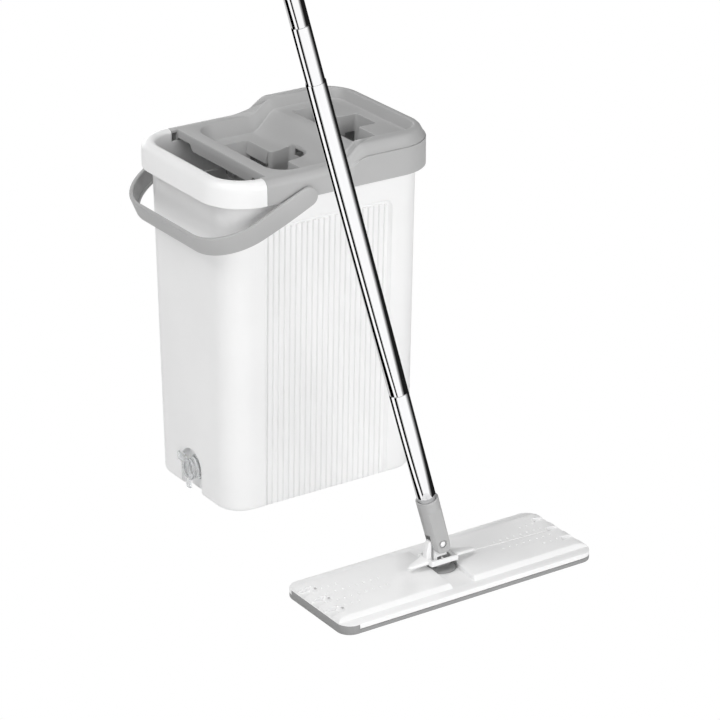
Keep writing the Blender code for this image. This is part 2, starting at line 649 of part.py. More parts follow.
def make_pole(parent):
    thick_inside, thin_inside = POLE_RADIUS - TUBE_WALL, THIN_RADIUS - TUBE_WALL
    thread = thick_inside - GAP
    hang(tube("lower_tube", POLE_RADIUS, thick_inside, TUBE_START, LOWER_SEAM, chrome()), parent)
    hang(turned("lower_joint", [(thread - 0.001, LOWER_SEAM - 0.026), (thread, LOWER_SEAM - 0.025),
                                (thread, LOWER_SEAM + 0.024), (thread - 0.001, LOWER_SEAM + 0.025)],
                finish=dark_grey()), parent)
    hang(tube("middle_tube", POLE_RADIUS, thick_inside, LOWER_SEAM + GAP, SLIDE_SEAM, chrome()), parent)

    hang(tube("upper_tube", THIN_RADIUS, thin_inside, SLIDE_SEAM - 0.080, UPPER_SEAM, chrome()), parent)
    lock = thin_inside - GAP
    hang(turned("twist_lock", [(0.0092, SLIDE_SEAM - 0.096), (THIN_RADIUS, SLIDE_SEAM - 0.092),
                               (THIN_RADIUS, SLIDE_SEAM - 0.0805), (lock, SLIDE_SEAM - 0.0805),
                               (lock, SLIDE_SEAM - 0.060)], finish=dark_grey()), parent)
    hang(turned("upper_joint", [(lock - 0.001, UPPER_SEAM - 0.026), (lock, UPPER_SEAM - 0.025),
                                (lock, UPPER_SEAM + 0.024), (lock - 0.001, UPPER_SEAM + 0.025)],
                finish=dark_grey()), parent)
    hang(tube("top_tube", THIN_RADIUS, thin_inside, UPPER_SEAM + GAP, TOP_TUBE_END, chrome()), parent)


def make_grip(parent):
    inside = THIN_RADIUS + GAP
    thick, waist, flare = 0.0135, 0.0128, 0.0138
    grip = turned("grip", [(0.0118, GRIP_START), (thick, GRIP_START + 0.004), (thick, GRIP_START + 0.030),
                           (waist, GRIP_START + 0.055), (waist, GRIP_END - 0.055),
                           (flare, GRIP_END - 0.020), (flare, GRIP_END)], finish=grey())
    cut(grip, turned("room", [(inside, GRIP_START - 0.01), (inside, TOP_TUBE_END + GAP)]),
        turned("core", [(0.0090, GRIP_START), (0.0090, GRIP_END + 0.01)]))
    hang(grip, parent)

    start = GRIP_END + GAP
    cap = turned("hanging_cap", [(0.0086, start - 0.015), (0.0086, start), (flare, start),
                                 (flare, start + 0.006), (0.0110, start + 0.012)], finish=grey())
    eye = turned("eye", [(0.0120, -0.0045), (0.0135, -0.003), (0.0135, 0.003), (0.0120, 0.0045)], "Y")
    join(cap, shift(eye, (0.0, 0.0, start + 0.020)))
    hole = turned("hole", [(0.0075, -0.02), (0.0075, 0.02)], "Y")
    cut(cap, shift(hole, (0.0, 0.0, start + 0.021)))
    return hang(cap, parent)


def main():
    for old in list(bpy.data.objects):
        bpy.data.objects.remove(old)
    make_tub()
    make_drain_plug()
    lid = make_lid()
    make_scraper(lid, "wash", WASH_SLOT, LOW_DECK)
    make_scraper(lid, "squeeze", SQUEEZE_SLOT, HIGH_DECK)
    hang(lid)
    make_handle()

    head = empty("head", MOP)
    make_sole(head)
    make_plate(head)
    make_hub(head)
    make_rocker(empty("rock_axis", MOP + Vector((0.0, 0.0, ROCK_AXIS))))
    pole = empty("pole", PIN, -LEAN)
    make_socket(pole)
    make_pole(pole)
    make_grip(pole)


main()
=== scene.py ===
"""Looks of the flat mop and bucket with wringer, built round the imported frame.

Metres, +Z up, in the frame of the CAD model: the origin is the middle of the tub's underside, +X runs
along the tub away from its pouring end, and the mop stands on the -Y side.
"""

import json
import math

import bmesh
import bpy
from mathutils import Matrix, Vector


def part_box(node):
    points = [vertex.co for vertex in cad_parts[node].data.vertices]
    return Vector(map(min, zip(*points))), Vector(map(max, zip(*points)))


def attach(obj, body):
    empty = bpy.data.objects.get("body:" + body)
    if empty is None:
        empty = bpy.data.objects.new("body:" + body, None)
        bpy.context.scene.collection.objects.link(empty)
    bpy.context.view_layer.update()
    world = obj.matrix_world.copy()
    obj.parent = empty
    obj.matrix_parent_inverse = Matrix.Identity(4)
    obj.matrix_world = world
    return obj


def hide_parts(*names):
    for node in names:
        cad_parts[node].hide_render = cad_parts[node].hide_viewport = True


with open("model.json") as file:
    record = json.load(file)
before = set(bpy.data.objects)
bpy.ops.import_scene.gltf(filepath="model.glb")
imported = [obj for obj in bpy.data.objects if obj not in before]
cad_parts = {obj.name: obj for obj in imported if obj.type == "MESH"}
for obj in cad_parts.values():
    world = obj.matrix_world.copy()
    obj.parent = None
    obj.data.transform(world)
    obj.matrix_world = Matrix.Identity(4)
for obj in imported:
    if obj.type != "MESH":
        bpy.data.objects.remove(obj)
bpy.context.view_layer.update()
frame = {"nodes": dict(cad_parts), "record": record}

# -------- sizes taken from the frame
tub_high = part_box("tub")[1]
lid_low, lid_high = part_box("wringer_lid")
sole_low, sole_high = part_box("mop_sole")
plate_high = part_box("mop_plate")[1]
pin_low, pin_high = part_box("fork_pin")
rock_low, rock_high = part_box("rocker_pin")
plug_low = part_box("drain_plug")[0]

GAP = 0.00035  # between neighbouring pieces
RIM = (lid_high.x, lid_high.y, 0.054)  # half length, half width and corner radius of the rim
RIM_BOTTOM, RIM_TOP = 0.377, tub_high.z
TUB_FOOT = (0.129, 0.085, 0.031)  # half length, half width and corner radius at the foot
TUB_TOP = (0.1305, 0.0965, 0.035)  # the same at the rim's lower edge
TUB_HEIGHT = 0.392
TUB_WALL, TUB_FLOOR, FOOT_ROUND = 0.0028, 0.0055, 0.007
PANEL = (0.0843, 0.346, 0.004, 0.011)  # half width, top, depth and corner radius of the ribbed panel
RIBS, RIB_PITCH, RIB_HIGH = 22, 0.00735, 0.0019
RIB_SHOULDER = (0.0013, 0.00158, 0.00186, 0.00214, 0.00242, 0.0027)  # out from the middle of a rib
PANEL_BORDER, RIB_START, RIB_FADE = 0.0042, 0.0045, 0.0009  # widths of slope, plain edge and ribs' rise
FINE_STEP, BACKING_EDGE = 0.0006, 0.003
DRAIN, DRAIN_HOLE = (0.002, 0.028), 0.009  # Y and Z of the drain, and its radius
NICHE = (0.0225, 0.030, -0.1185)  # half width, height of the arch's spring, back wall
SPOUT_END = lid_low.x - 0.0005
STUD = (-0.041, 0.3795, 0.0045)  # X, Z and radius of the handle's studs
STUD_ROOT, STUD_TIP = 0.0945, 0.1155

LOW_TOP, HIGH_TOP = 0.4050, lid_high.z
LOW_DECK, HIGH_DECK, OVER = 0.3855, 0.4090, 0.45  # the last lies above the whole lid
RIM_STEP, DECK_STEP = (0.009, 0.040), (0.010, 0.044)  # where the rim and the deck rise along X
LID_WALL = 0.003
BASIN = (-0.060, 0.124, 0.084, 0.020)  # left, right, half width and corner radius at the deck
PARTITION, POUR_HALF = -0.0830, 0.0945
FOOT_EDGE = (0.3955, 0.388)  # the partition's lower edge near the walls and in the middle
THROAT_WALL = 0.0022
# A slot's left and right, half length, notch end, half width of the notch, and the throat's bottom
WASH_SLOT = (-0.0385, -0.0070, 0.0680, 0.0203, 0.0173, 0.352)
SQUEEZE_SLOT = (0.0550, 0.0865, 0.0690, 0.1118, 0.0205, 0.366)
CORNER_OUT, CORNER_IN = 0.0035, 0.0045
FLAP_TALL, FLAP_LEAN, RECESS_TALL = 0.0150, 0.0040, 0.0140

HANDLE = (0.1128, 0.005, 0.1245, 0.060)  # half distance inside, thickness, reach, corner radius
EAR, BAND_TALL, BAND_SWELL = 0.0112, 0.0224, 0.0014
CHANNEL, CHANNEL_START = 0.0022, (0.016, 0.030)  # its depth, and how far from the studs it begins
HANDLE_DROOP = math.radians(23.4)

MOP = Vector(((sole_low.x + sole_high.x) / 2, (sole_low.y + sole_high.y) / 2, 0.0))
PLATE = (sole_high.x - MOP.x, sole_high.y - MOP.y, 0.016)
SOLE_TOP, PLATE_TOP, DECK_TOP = 0.0050, 0.0115, plate_high.z
BUMPER, BUMPER_START = 0.003, 0.1465  # width of the sole's raised edge, and where it starts along X
DECK_HALF, VALLEY_HALF = 0.0480, 0.0145
HUB_RADIUS, HUB_SCREW_OUT, HUB_SCREW_HOLE = 0.0165, 0.0095, 0.0019
HOOK_STRIP = (0.150, 0.011, 0.034)  # half length, half width, distance from the middle
NOTCH_PITCH, NOTCH_HALF, NOTCH_IN = 0.0265, 0.0070, 0.1465
DOT_START, DOT_PITCH, DOT_ROWS = 0.0772, 0.0091, (0.0092, 0.0227)  # the dimples of a deck
FORK_PIN, ROCK_PIN = 0.0030, 0.0020
SOCKET_TOP, TUBE_START = 0.058, 0.0470
FORK_FLAT, FORK_FOOT, FORK_GAP, ARM_TIP = 0.0096, 0.0109, 0.0051, 0.0440
PIN = (pin_low + pin_high) / 2
ROCK_AXIS = (rock_low.z + rock_high.z) / 2
LEAN = math.radians(15.7)
POLE_RADIUS, THIN_RADIUS, TUBE_WALL = 0.0107, 0.00995, 0.00045
# Distances along the pole from the middle of the fork pin
LOWER_SEAM, SLIDE_SEAM, UPPER_SEAM, TUBE_END = 0.197, 0.572, 0.6355, 1.060
GRIP = (1.040, 1.195)

CAMERA_AT, CAMERA_PAN, CAMERA_TILT = 3.8974, math.radians(-33.6), math.radians(23.26)
CAMERA_LENS, LOOK_AT = 153.165, Vector((0.2441, 0.2119, 0.0))

# A light's name, its place, the height on the Z axis that it aims at, its size and its power in watts
LIGHTS = (("front_softbox", (0.6, -3.2, 1.1), 0.2, (2.8, 2.2), 72.0),
          ("left_softbox", (-2.8, -0.9, 1.4), 0.25, (1.6, 2.0), 17.0),
          ("top_softbox", (0.0, 0.3, 3.2), 0.2, (2.5, 2.5), 21.0),
          ("high_left_softbox", (-2.0, -0.3, 3.0), 0.3, (1.8, 1.8), 52.0),
          ("rear_softbox", (0.7, 3.4, 0.8), 0.25, (2.4, 1.6), 34.0))
# A streak's start and end across a tube, from -1 at its left edge to 1 at its right, and its brightness
STREAKS = ((-0.999, -0.91, 0.60), (-0.91, -0.70, 0.0), (-0.70, -0.49, 1.05), (-0.49, -0.33, 0.0),
           (-0.33, -0.27, 0.55), (-0.27, 0.46, 1.05), (0.46, 0.55, 0.72), (0.55, 0.64, 0.28),
           (0.64, 0.70, 0.08), (0.70, 0.999, 0.012))


# -------- materials
def new_finish(name):
    made = bpy.data.materials.new(name)
    made.use_nodes = True
    return made, made.node_tree, made.node_tree.nodes["Principled BSDF"]


def add(tree, kind, values, links=()):
    """A shader node with its values, and its inputs linked to the outputs of others."""
    made = tree.nodes.new("ShaderNode" + kind)
    set_values(made, values)
    for socket, source in links:
        tree.links.new(source, made.inputs[socket])
    return made


def set_values(node, values):
    for socket, value in values.items():
        node.inputs[socket].default_value = value


def two_tones(tree, factor, colour, low, high, spread=(0.0, 1.0)):
    """The colour times a low or a high factor, by a noise."""
    made = add(tree, "ValToRGB", {}, [("Fac", factor)])
    for element, position, part in zip(made.color_ramp.elements, spread, (low, high)):
        element.position = position
        element.color = (*[min(channel * part, 1.0) for channel in colour], 1.0)
    return made.outputs["Color"]


def plastic(name, colour, roughness, grain, sheen=0.5):
    """Moulded plastic: a faint mottle in its colour, cloudy gloss and a fine moulded grain."""
    made, tree, shader = new_finish(name)
    set_values(shader, {"Specular IOR Level": sheen, "Coat Roughness": 0.25})
    place = add(tree, "TexCoord", {}).outputs["Object"]
    mottle = add(tree, "TexNoise", {"Scale": 9.0, "Detail": 4.0}, [("Vector", place)])
    shade = two_tones(tree, mottle.outputs["Fac"], colour, 0.975, 1.02, (0.3, 0.7))
    cloud = add(tree, "TexNoise", {"Scale": 35.0}, [("Vector", place)])
    gloss = add(tree, "MapRange", {"To Min": roughness - 0.05, "To Max": roughness + 0.05},
                [("Value", cloud.outputs["Fac"])])
    fine = add(tree, "TexNoise", {"Scale": 1400.0, "Detail": 3.0}, [("Vector", place)])
    bump = add(tree, "Bump", {"Strength": grain, "Distance": 0.0004}, [("Height", fine.outputs["Fac"])])
    tree.links.new(shade, shader.inputs["Base Color"])
    tree.links.new(gloss.outputs["Result"], shader.inputs["Roughness"])
    tree.links.new(bump.outputs["Normal"], shader.inputs["Normal"])
    return made


def metal(name, colour, roughness, brushed=0.0):
    """Plated steel with faint drawing marks along its length."""
    made, tree, shader = new_finish(name)
    set_values(shader, {"Metallic": 1.0})
    place = add(tree, "TexCoord", {}).outputs["Object"]
    stretch = add(tree, "Mapping", {"Scale": (900.0, 900.0, 12.0)}, [("Vector", place)])
    marks = add(tree, "TexNoise", {"Scale": 1.0, "Detail": 2.0}, [("Vector", stretch.outputs["Vector"])])
    gloss = add(tree, "MapRange", {"To Min": roughness * 0.8, "To Max": roughness * 1.3 + brushed},
                [("Value", marks.outputs["Fac"])])
    tree.links.new(two_tones(tree, marks.outputs["Fac"], colour, 0.97, 1.0), shader.inputs["Base Color"])
    tree.links.new(gloss.outputs["Result"], shader.inputs["Roughness"])
    return made


def clear_plastic():
    made = plastic("clear_vinyl", (0.93, 0.94, 0.95), 0.10, grain=0.02)
    set_values(made.node_tree.nodes["Principled BSDF"], {"Transmission Weight": 0.85, "IOR": 1.45})
    return made


def woven():
    """Hook tape: rows of fine hooks standing on a pale weave."""
    made = plastic("hook_tape", (0.78, 0.78, 0.78), 0.8, grain=0.0, sheen=0.2)
    tree = made.node_tree
    place = add(tree, "TexCoord", {}).outputs["Object"]
    rows = add(tree, "TexVoronoi", {"Scale": 900.0}, [("Vector", place)])
    bump = add(tree, "Bump", {"Strength": 0.8, "Distance": 0.0005}, [("Height", rows.outputs["Distance"])])
    tree.links.new(bump.outputs["Normal"], tree.nodes["Principled BSDF"].inputs["Normal"])
    return made


WHITE = plastic("white_polypropylene", (0.87, 0.87, 0.87), 0.38, grain=0.02)
GREY = plastic("grey_polypropylene", (0.43, 0.43, 0.43), 0.48, grain=0.10)
DARK_GREY = plastic("dark_grey_polypropylene", (0.24, 0.24, 0.24), 0.5, grain=0.10)
SOLE = plastic("soft_sole_rubber", (0.30, 0.30, 0.30), 0.65, grain=0.25, sheen=0.3)
CHROME = metal("chrome_plate", (0.93, 0.93, 0.94), 0.035)
STEEL = metal("zinc_plate", (0.62, 0.62, 0.63), 0.25, brushed=0.1)
CLEAR = clear_plastic()
HOOKS = woven()


# -------- mesh tools
def new_object(name, fill):
    shape = bmesh.new()
    fill(shape)
    bmesh.ops.recalc_face_normals(shape, faces=shape.faces)
    mesh = bpy.data.meshes.new(name)
    shape.to_mesh(mesh)
    shape.free()
    made = bpy.data.objects.new(name, mesh)
    bpy.context.scene.collection.objects.link(made)
    return made


def loft(name, rings, looped=False):
    """A closed solid through rings of points. A looped one joins its last ring to its first."""
    def fill(shape):
        rows = [[shape.verts.new(point) for point in ring] for ring in rings]
        pairs = list(zip(rows, rows[1:]))
        if looped:
            pairs.append((rows[-1], rows[0]))
        for lower, upper in pairs:
            for i in range(len(lower)):
                j = (i + 1) % len(lower)
                shape.faces.new((lower[i], lower[j], upper[j], upper[i]))
        if not looped:
            shape.faces.new(rows[0])
            shape.faces.new(rows[-1])
    return new_object(name, fill)


def strip(shape, near, far):
    """Faces between two rows of vertices."""
    for i in range(len(near) - 1):
        shape.faces.new((near[i], near[i + 1], far[i + 1], far[i]))


def outline(half_x, half_y, radius, middle=(0.0, 0.0), steps=10, along=1):
    """A rounded rectangle as (x, y) points, its straight sides divided into a number of lengths."""
    points = []
    for quarter in range(4):
        side_x = 1 if quarter in (0, 3) else -1
        side_y = 1 if quarter in (0, 1) else -1
        centre = Vector((middle[0] + side_x * (half_x - radius), middle[1] + side_y * (half_y - radius)))
        for step in range(steps + 1):
            turn = math.pi / 2 * (quarter + step / steps)
            points.append(centre + radius * Vector((math.cos(turn), math.sin(turn))))
    divided = []
    for place, (here, following) in enumerate(zip(points, points[1:] + points[:1])):
        divided.append(tuple(here))
        if place % (steps + 1) == steps:
            divided += [tuple(here.lerp(following, part / along)) for part in range(1, along)]
    return divided


def arc(middle, radius, start, sweep, steps):
    """Points of an arc from a start angle through a sweep, both in degrees."""
    turns = [math.radians(start + sweep * step / steps) for step in range(steps + 1)]
    return [(middle[0] + radius * math.cos(turn), middle[1] + radius * math.sin(turn)) for turn in turns]


def mirrored(points):
    """An outline from its first half, which returns with its second coordinate turned round."""
    return points + [(first, -second) for first, second in reversed(points)]


def level(points, z):
    return [(x, y, z) for x, y in points]


def prism(name, points, bottom, top):
    return loft(name, [level(points, bottom), level(points, top)])


def box(name, low, high):
    return prism(name, [(low[0], low[1]), (high[0], low[1]), (high[0], high[1]), (low[0], high[1])],
                 low[2], high[2])


def side_prism(name, points, low, high):
    """An outline of (x, z) points drawn through from y = low to y = high."""
    return loft(name, [[(x, low, z) for x, z in points], [(x, high, z) for x, z in points]])


def end_prism(name, points, low, high):
    """An outline of (y, z) points drawn through from x = low to x = high."""
    return loft(name, [[(low, y, z) for y, z in points], [(high, y, z) for y, z in points]])


def turned(name, profile, axis="Z", sides=64, looped=False):
    """A solid turned from (radius, distance) points along an axis through the origin."""
    rings = []
    for radius, along in profile:
        ring = []
        for side in range(sides):
            turn = 2 * math.pi * side / sides
            across, up = radius * math.cos(turn), radius * math.sin(turn)
            ring.append({"X": (along, across, up), "Y": (across, along, up), "Z": (across, up, along)}[axis])
        rings.append(ring)
    return loft(name, rings, looped)


def rod(name, radius, low, high, axis="Z", sides=64):
    return turned(name, [(radius, low), (radius, high)], axis, sides)


def combine(target, other, operation):
    modifier = target.modifiers.new(operation.lower(), "BOOLEAN")
    modifier.operation = operation
    modifier.object = other
    modifier.solver = "EXACT"
    apply_modifiers(target)
    bpy.data.objects.remove(other)
    return target


def apply_modifiers(target):
    graph = bpy.context.evaluated_depsgraph_get()
    result = bpy.data.meshes.new_from_object(target.evaluated_get(graph))
    target.modifiers.clear()
    before = target.data
    target.data = result
    bpy.data.meshes.remove(before)


def cut(target, *cutters):
    for cutter in cutters:
        combine(target, cutter, "DIFFERENCE")


def join(target, *others):
    for other in others:
        combine(target, other, "UNION")


def keep(target, region):
    return combine(target, region, "INTERSECT")


def shift(made, offset):
    made.data.transform(Matrix.Translation(offset))
    return made


def ramp(x, start, end, low, high):
    part = min(max((x - start) / (end - start), 0.0), 1.0)
    return low + (high - low) * part * part * (3 - 2 * part)


def soften(made, width, segments, angle):
    """Round the sharp edges."""
    modifier = made.modifiers.new("round", "BEVEL")
    modifier.width = width
    modifier.segments = segments
    modifier.limit_method = "ANGLE"
    modifier.angle_limit = math.radians(angle)
    modifier.use_clamp_overlap = True
    apply_modifiers(made)
    return made


def piece(made, body, finish, slot, *replaced, smooth=35):
    """Give a piece its finish and shading, and hang it on its body in place of CAD nodes."""
    made.data.materials.clear()
    made.data.materials.append(finish)
    made.data.shade_smooth()
    made.data.set_sharp_from_angle(angle=math.radians(smooth))
    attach(made, body)
    if replaced:
        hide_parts(*replaced)


# -------- tub
def tub_outline(z, inset=0.0):
    part = z / RIM_BOTTOM
    half_x, half_y, radius = (a + (b - a) * part for a, b in zip(TUB_FOOT, TUB_TOP))
    return outline(half_x - inset, half_y - inset, radius - inset, steps=16)


def panel_backing(side):
    """The room that the wall behind the ribbed panel needs inside the tub: a round-topped slab."""
    half, top, depth, radius = PANEL
    half, top = half + BACKING_EDGE, top + BACKING_EDGE
    points = [(-half, -0.01), (half, -0.01)]
    for centre, start in ((half - radius, 0), (radius - half, 90)):
        points += arc((centre, top - radius), radius, start, 90, 8)
    return loft("backing", [[lean_in(x, side, z, inward) for x, z in points]
                            for inward in (-0.01, TUB_WALL + depth)])


def lean_in(x, side, z, depth):
    lean = (TUB_TOP[1] - TUB_FOOT[1]) / RIM_BOTTOM
    return (x, side * (TUB_FOOT[1] + lean * z - depth), z)


def arch(half, bottom):
    """The drain niche's outline as (y, z) points."""
    middle = DRAIN[0]
    return [(middle - half, bottom), (middle + half, bottom), *arc((middle, NICHE[1]), half, 0, 180, 20)]


def panel_inset(x, z):
    """How far a point lies inside the panel's round-topped outline."""
    half, top, _, radius = PANEL
    out_x, out_z = abs(x) - (half - radius), z - (top - radius)
    if out_x > 0 and out_z > 0:
        return radius - math.hypot(out_x, out_z)
    return radius - max(out_x, out_z)


def rib_bump(x):
    """Height of the ribs across the panel: flat tops with round shoulders and a plain groove between."""
    number = round(x / RIB_PITCH + (RIBS - 1) / 2)
    if not 0 <= number < RIBS:
        return 0.0
    off = abs(x - (number - (RIBS - 1) / 2) * RIB_PITCH)
    return RIB_HIGH * ramp(off, RIB_SHOULDER[0], RIB_SHOULDER[-1], 1.0, 0.0)


def panel_cutter(side):
    """The ribbed panel as a block to cut away: its inner face carries the sloped border and the ribs."""
    half, top, depth, _ = PANEL
    edge = half + 0.0030
    near_edge = [half - 0.0115 + FINE_STEP * step for step in range(25)]
    columns = {round(way * x, 5) for way in (-1, 1) for x in near_edge}
    for number in range(RIBS):
        middle = (number - (RIBS - 1) / 2) * RIB_PITCH
        columns |= {round(middle + off * way, 5) for way in (-1, 1)
                    for off in (0.0, *RIB_SHOULDER, RIB_PITCH / 2)}
    columns = sorted(x for x in columns if abs(x) <= edge)
    rows = [-0.010, 0.004, 0.060, 0.140, 0.220, 0.290, 0.322]
    rows += [top - 0.0150 + FINE_STEP * step for step in range(31)]
    sheet = []
    for z in rows:
        line = []
        for x in columns:
            inset = panel_inset(x, z)
            if inset < 0:
                sunk = inset * 1.5
            else:
                part = min(inset / PANEL_BORDER, 1.0)
                sunk = depth * (1 - (1 - part) ** 1.7)
            sunk -= rib_bump(x) * ramp(inset, RIB_START, RIB_START + RIB_FADE, 0.0, 1.0)
            line.append(lean_in(x, side, z, sunk))
        sheet.append(line)
    out = side * 0.130

    def fill(shape):
        inner = [[shape.verts.new(point) for point in line] for line in sheet]
        outer = [[shape.verts.new((x, out, z)) for x in columns] for z in (rows[0], rows[-1])]
        for near, far in (*zip(inner, inner[1:]), (inner[0], outer[0]), (inner[-1], outer[1]), outer):
            strip(shape, near, far)
        for end in (0, -1):
            shape.faces.new([line[end] for line in inner] + [outer[1][end], outer[0][end]])
    return new_object("panel", fill)


def rim_profile():
    """The rolled rim at the pouring end as (inset, z) points round its section."""
    roll = 0.0095
    points = [(0.0, RIM_BOTTOM)]
    for step in range(9):
        turn = math.pi / 2 * step / 8
        points.append((roll * (1 - math.cos(turn)), RIM_TOP - roll * (1 - math.sin(turn))))
    return points + [
        (0.0130, RIM_TOP - 0.0003), (0.0150, RIM_TOP - 0.0012), (0.0162, RIM_TOP - 0.0030),
        (0.0166, RIM_TOP - 0.0060), (0.0164, TUB_HEIGHT), (0.0155, 0.380), (0.0138, 0.378),
        (0.0136, RIM_TOP - 0.0100), (0.0035, RIM_TOP - 0.0105), (0.0030, RIM_BOTTOM)]


def make_tub():
    rings = []
    for step in range(8):
        turn = math.pi / 2 * step / 8
        z = FOOT_ROUND * (1 - math.cos(turn))
        rings.append(level(tub_outline(z, FOOT_ROUND * (1 - math.sin(turn))), z))
    rings.append(level(tub_outline(FOOT_ROUND), FOOT_ROUND))
    rings.append(level(tub_outline(TUB_HEIGHT), TUB_HEIGHT))
    tub = loft("bucket_shell", rings)
    cut(tub, panel_cutter(-1), panel_cutter(1))
    inside = loft("inside", [level(tub_outline(z, TUB_WALL), z) for z in (TUB_FLOOR, OVER)])
    cut(inside, panel_backing(-1), panel_backing(1))
    cut(inside, end_prism("niche_pad", arch(NICHE[0] + BACKING_EDGE, -0.01), -0.2, NICHE[2] + TUB_WALL))
    cut(tub, inside)

    rim = loft("rim", [level(outline(RIM[0] - inset, RIM[1] - inset, RIM[2] - inset, steps=20), z)
                       for inset, z in rim_profile()], looped=True)
    keep(rim, box("spout_side", (-0.2, -0.2, 0.3), (SPOUT_END, 0.2, 0.5)))
    join(tub, rim)
    niche_rows = [(-0.2, 0.0), (-0.1275, 0.0), (NICHE[2] - 0.0012, 0.0), (NICHE[2], 0.0012)]
    cut(tub, loft("niche", [[(x, y, z) for y, z in arch(NICHE[0] - inset, -0.01)]
                            for x, inset in niche_rows]))
    cut(tub, shift(rod("drain_hole", DRAIN_HOLE, -0.13, -0.11, "X"), (0.0, *DRAIN)))
    edge = 0.0006
    for side in (-1, 1):
        stud = turned("stud", [(STUD[2], side * STUD_ROOT), (STUD[2], side * (STUD_TIP - edge)),
                               (STUD[2] - edge, side * STUD_TIP)], "Y", sides=32)
        join(tub, shift(stud, (STUD[0], 0.0, STUD[1])))
    piece(tub, "bucket", WHITE, "white_plastic", "tub", smooth=22)


# -------- wringer lid
def blend(low, high):
    """One outline turned into another over the rim's step, as (x, y, how far turned)."""
    ring = []
    for (x1, y1), (x2, y2) in zip(low, high):
        part = ramp((x1 + x2) / 2, *RIM_STEP, 0.0, 1.0)
        ring.append((x1 + (x2 - x1) * part, y1 + (y2 - y1) * part, part))
    return ring


def rim_ring(low, high):
    """A ring of the lid at (inset, z) below the step and (inset, z) above it."""
    rings = [outline(RIM[0] - inset, RIM[1] - inset, RIM[2] - inset, steps=16, along=60)
             for inset in (low[0], high[0])]
    return [(x, y, low[1] + (high[1] - low[1]) * part) for x, y, part in blend(*rings)]


def basin_ring(grow_low, drop, grow_high=None, on_deck=False):
    """A ring of the basin, a drop below the rim's top or above the deck."""
    left, right, half, radius = BASIN
    grow_high = grow_low if grow_high is None else grow_high
    rings = [outline((right - left) / 2 + grow, half + grow, max(radius + grow, 0.0002),
                     ((left + right) / 2, 0.0), steps=16, along=60) for grow in (grow_low, grow_high)]
    return [(x, y, deck(x) + drop if on_deck else ramp(x, *RIM_STEP, LOW_TOP, HIGH_TOP) - drop)
            for x, y, _ in blend(*rings)]


def deck(x):
    return ramp(x, *DECK_STEP, LOW_DECK, HIGH_DECK)


def lid_solid():
    roll = 0.009
    crease = 0.4095
    shoulder = [(0.0, crease - 0.0006), (0.0014, crease - 0.0004), (0.0014, crease + 0.0004),
                (0.0006, crease + 0.0007), (0.0019, crease + 0.0018), (0.0042, crease + 0.0060),
                (0.0060, crease + 0.0095), (0.0082, HIGH_TOP - 0.0009), (0.0108, HIGH_TOP)]
    wall = LID_WALL
    outside = [rim_ring((0.0, RIM_BOTTOM), (0.0, RIM_BOTTOM))]
    for step, high in enumerate(shoulder):
        turn = math.pi / 2 * step / (len(shoulder) - 1)
        low = (roll * (1 - math.cos(turn)), LOW_TOP - roll * (1 - math.sin(turn)))
        outside.append(rim_ring(low, high))
    lip = ((0.0072, 0.0000, 0.0050), (0.0064, 0.0003, 0.0042), (0.0058, 0.0010, 0.0036))
    outside += [basin_ring(low, drop, high) for low, drop, high in lip]
    outside += [basin_ring(0.0010, 0.0012, on_deck=True), basin_ring(0.0, 0.0003, on_deck=True),
                basin_ring(-0.0012, 0.0, on_deck=True)]
    inward = [-0.012 * step for step in range(1, 7)] + [-0.0836]
    outside += [basin_ring(grow, 0.0, on_deck=True) for grow in inward]

    under = [rim_ring((wall, RIM_BOTTOM), (wall, RIM_BOTTOM)),
             rim_ring((wall, LOW_TOP - roll), (wall, crease - 0.003)),
             rim_ring((roll, LOW_TOP - wall), (0.0108, HIGH_TOP - wall)),
             basin_ring(0.0090, wall, 0.0076), basin_ring(0.0030, -wall, on_deck=True)]
    under += [basin_ring(grow, -wall, on_deck=True) for grow in inward]
    return loft("wringer_lid_shell", under[::-1] + outside)


def tee(slot, grow, end_in=0.0):
    """The T of a slot with rounded corners: a slit across the tub and a notch for the mop's pole."""
    left, right, half, notch_end, notch_half, _ = slot
    left, right, half = left - grow, right + grow, half + grow - end_in
    notch_end, notch_half = notch_end + grow - end_in * 0.3, notch_half + grow
    out, into = CORNER_OUT + grow, max(CORNER_IN - grow, 0.0004)
    corners = [(left, -half, out, 180, 90), (right, -half, out, 270, 90),
               (right, -notch_half, -into, 180, -90), (notch_end, -notch_half, out, 270, 90),
               (notch_end, notch_half, out, 0, 90), (right, notch_half, -into, 270, -90),
               (right, half, out, 0, 90), (left, half, out, 90, 90)]
    points = []
    for x, y, radius, start, sweep in corners:
        size = abs(radius)
        middle_x = x + size * (1 if (x == left or radius < 0) else -1)
        middle_y = y + size * (1 if (y < 0) == (radius > 0) else -1)
        points += arc((middle_x, middle_y), size, start, sweep, 6)
    return points


def slot_tools(slot):
    """The throat that hangs below the deck, and the hole through it."""
    bottom = slot[5]
    end_in = 0.011
    throat = loft("throat", [level(tee(slot, THROAT_WALL, end_in), bottom),
                             [(x, y, deck(x) - 0.0020) for x, y in tee(slot, THROAT_WALL)]])
    rings = [level(tee(slot, 0.0, end_in * 1.9), bottom - 0.030), level(tee(slot, 0.0, end_in), bottom)]
    for turn in (0, 30, 60, 90):
        lip = 0.0010
        grow = lip * (1 - math.cos(math.radians(turn)))
        drop = lip * (1 - math.sin(math.radians(turn)))
        rings.append([(x, y, deck(x) - drop) for x, y in tee(slot, grow)])
    rings.append(level(tee(slot, 0.0012), OVER))
    return throat, loft("slot", rings)


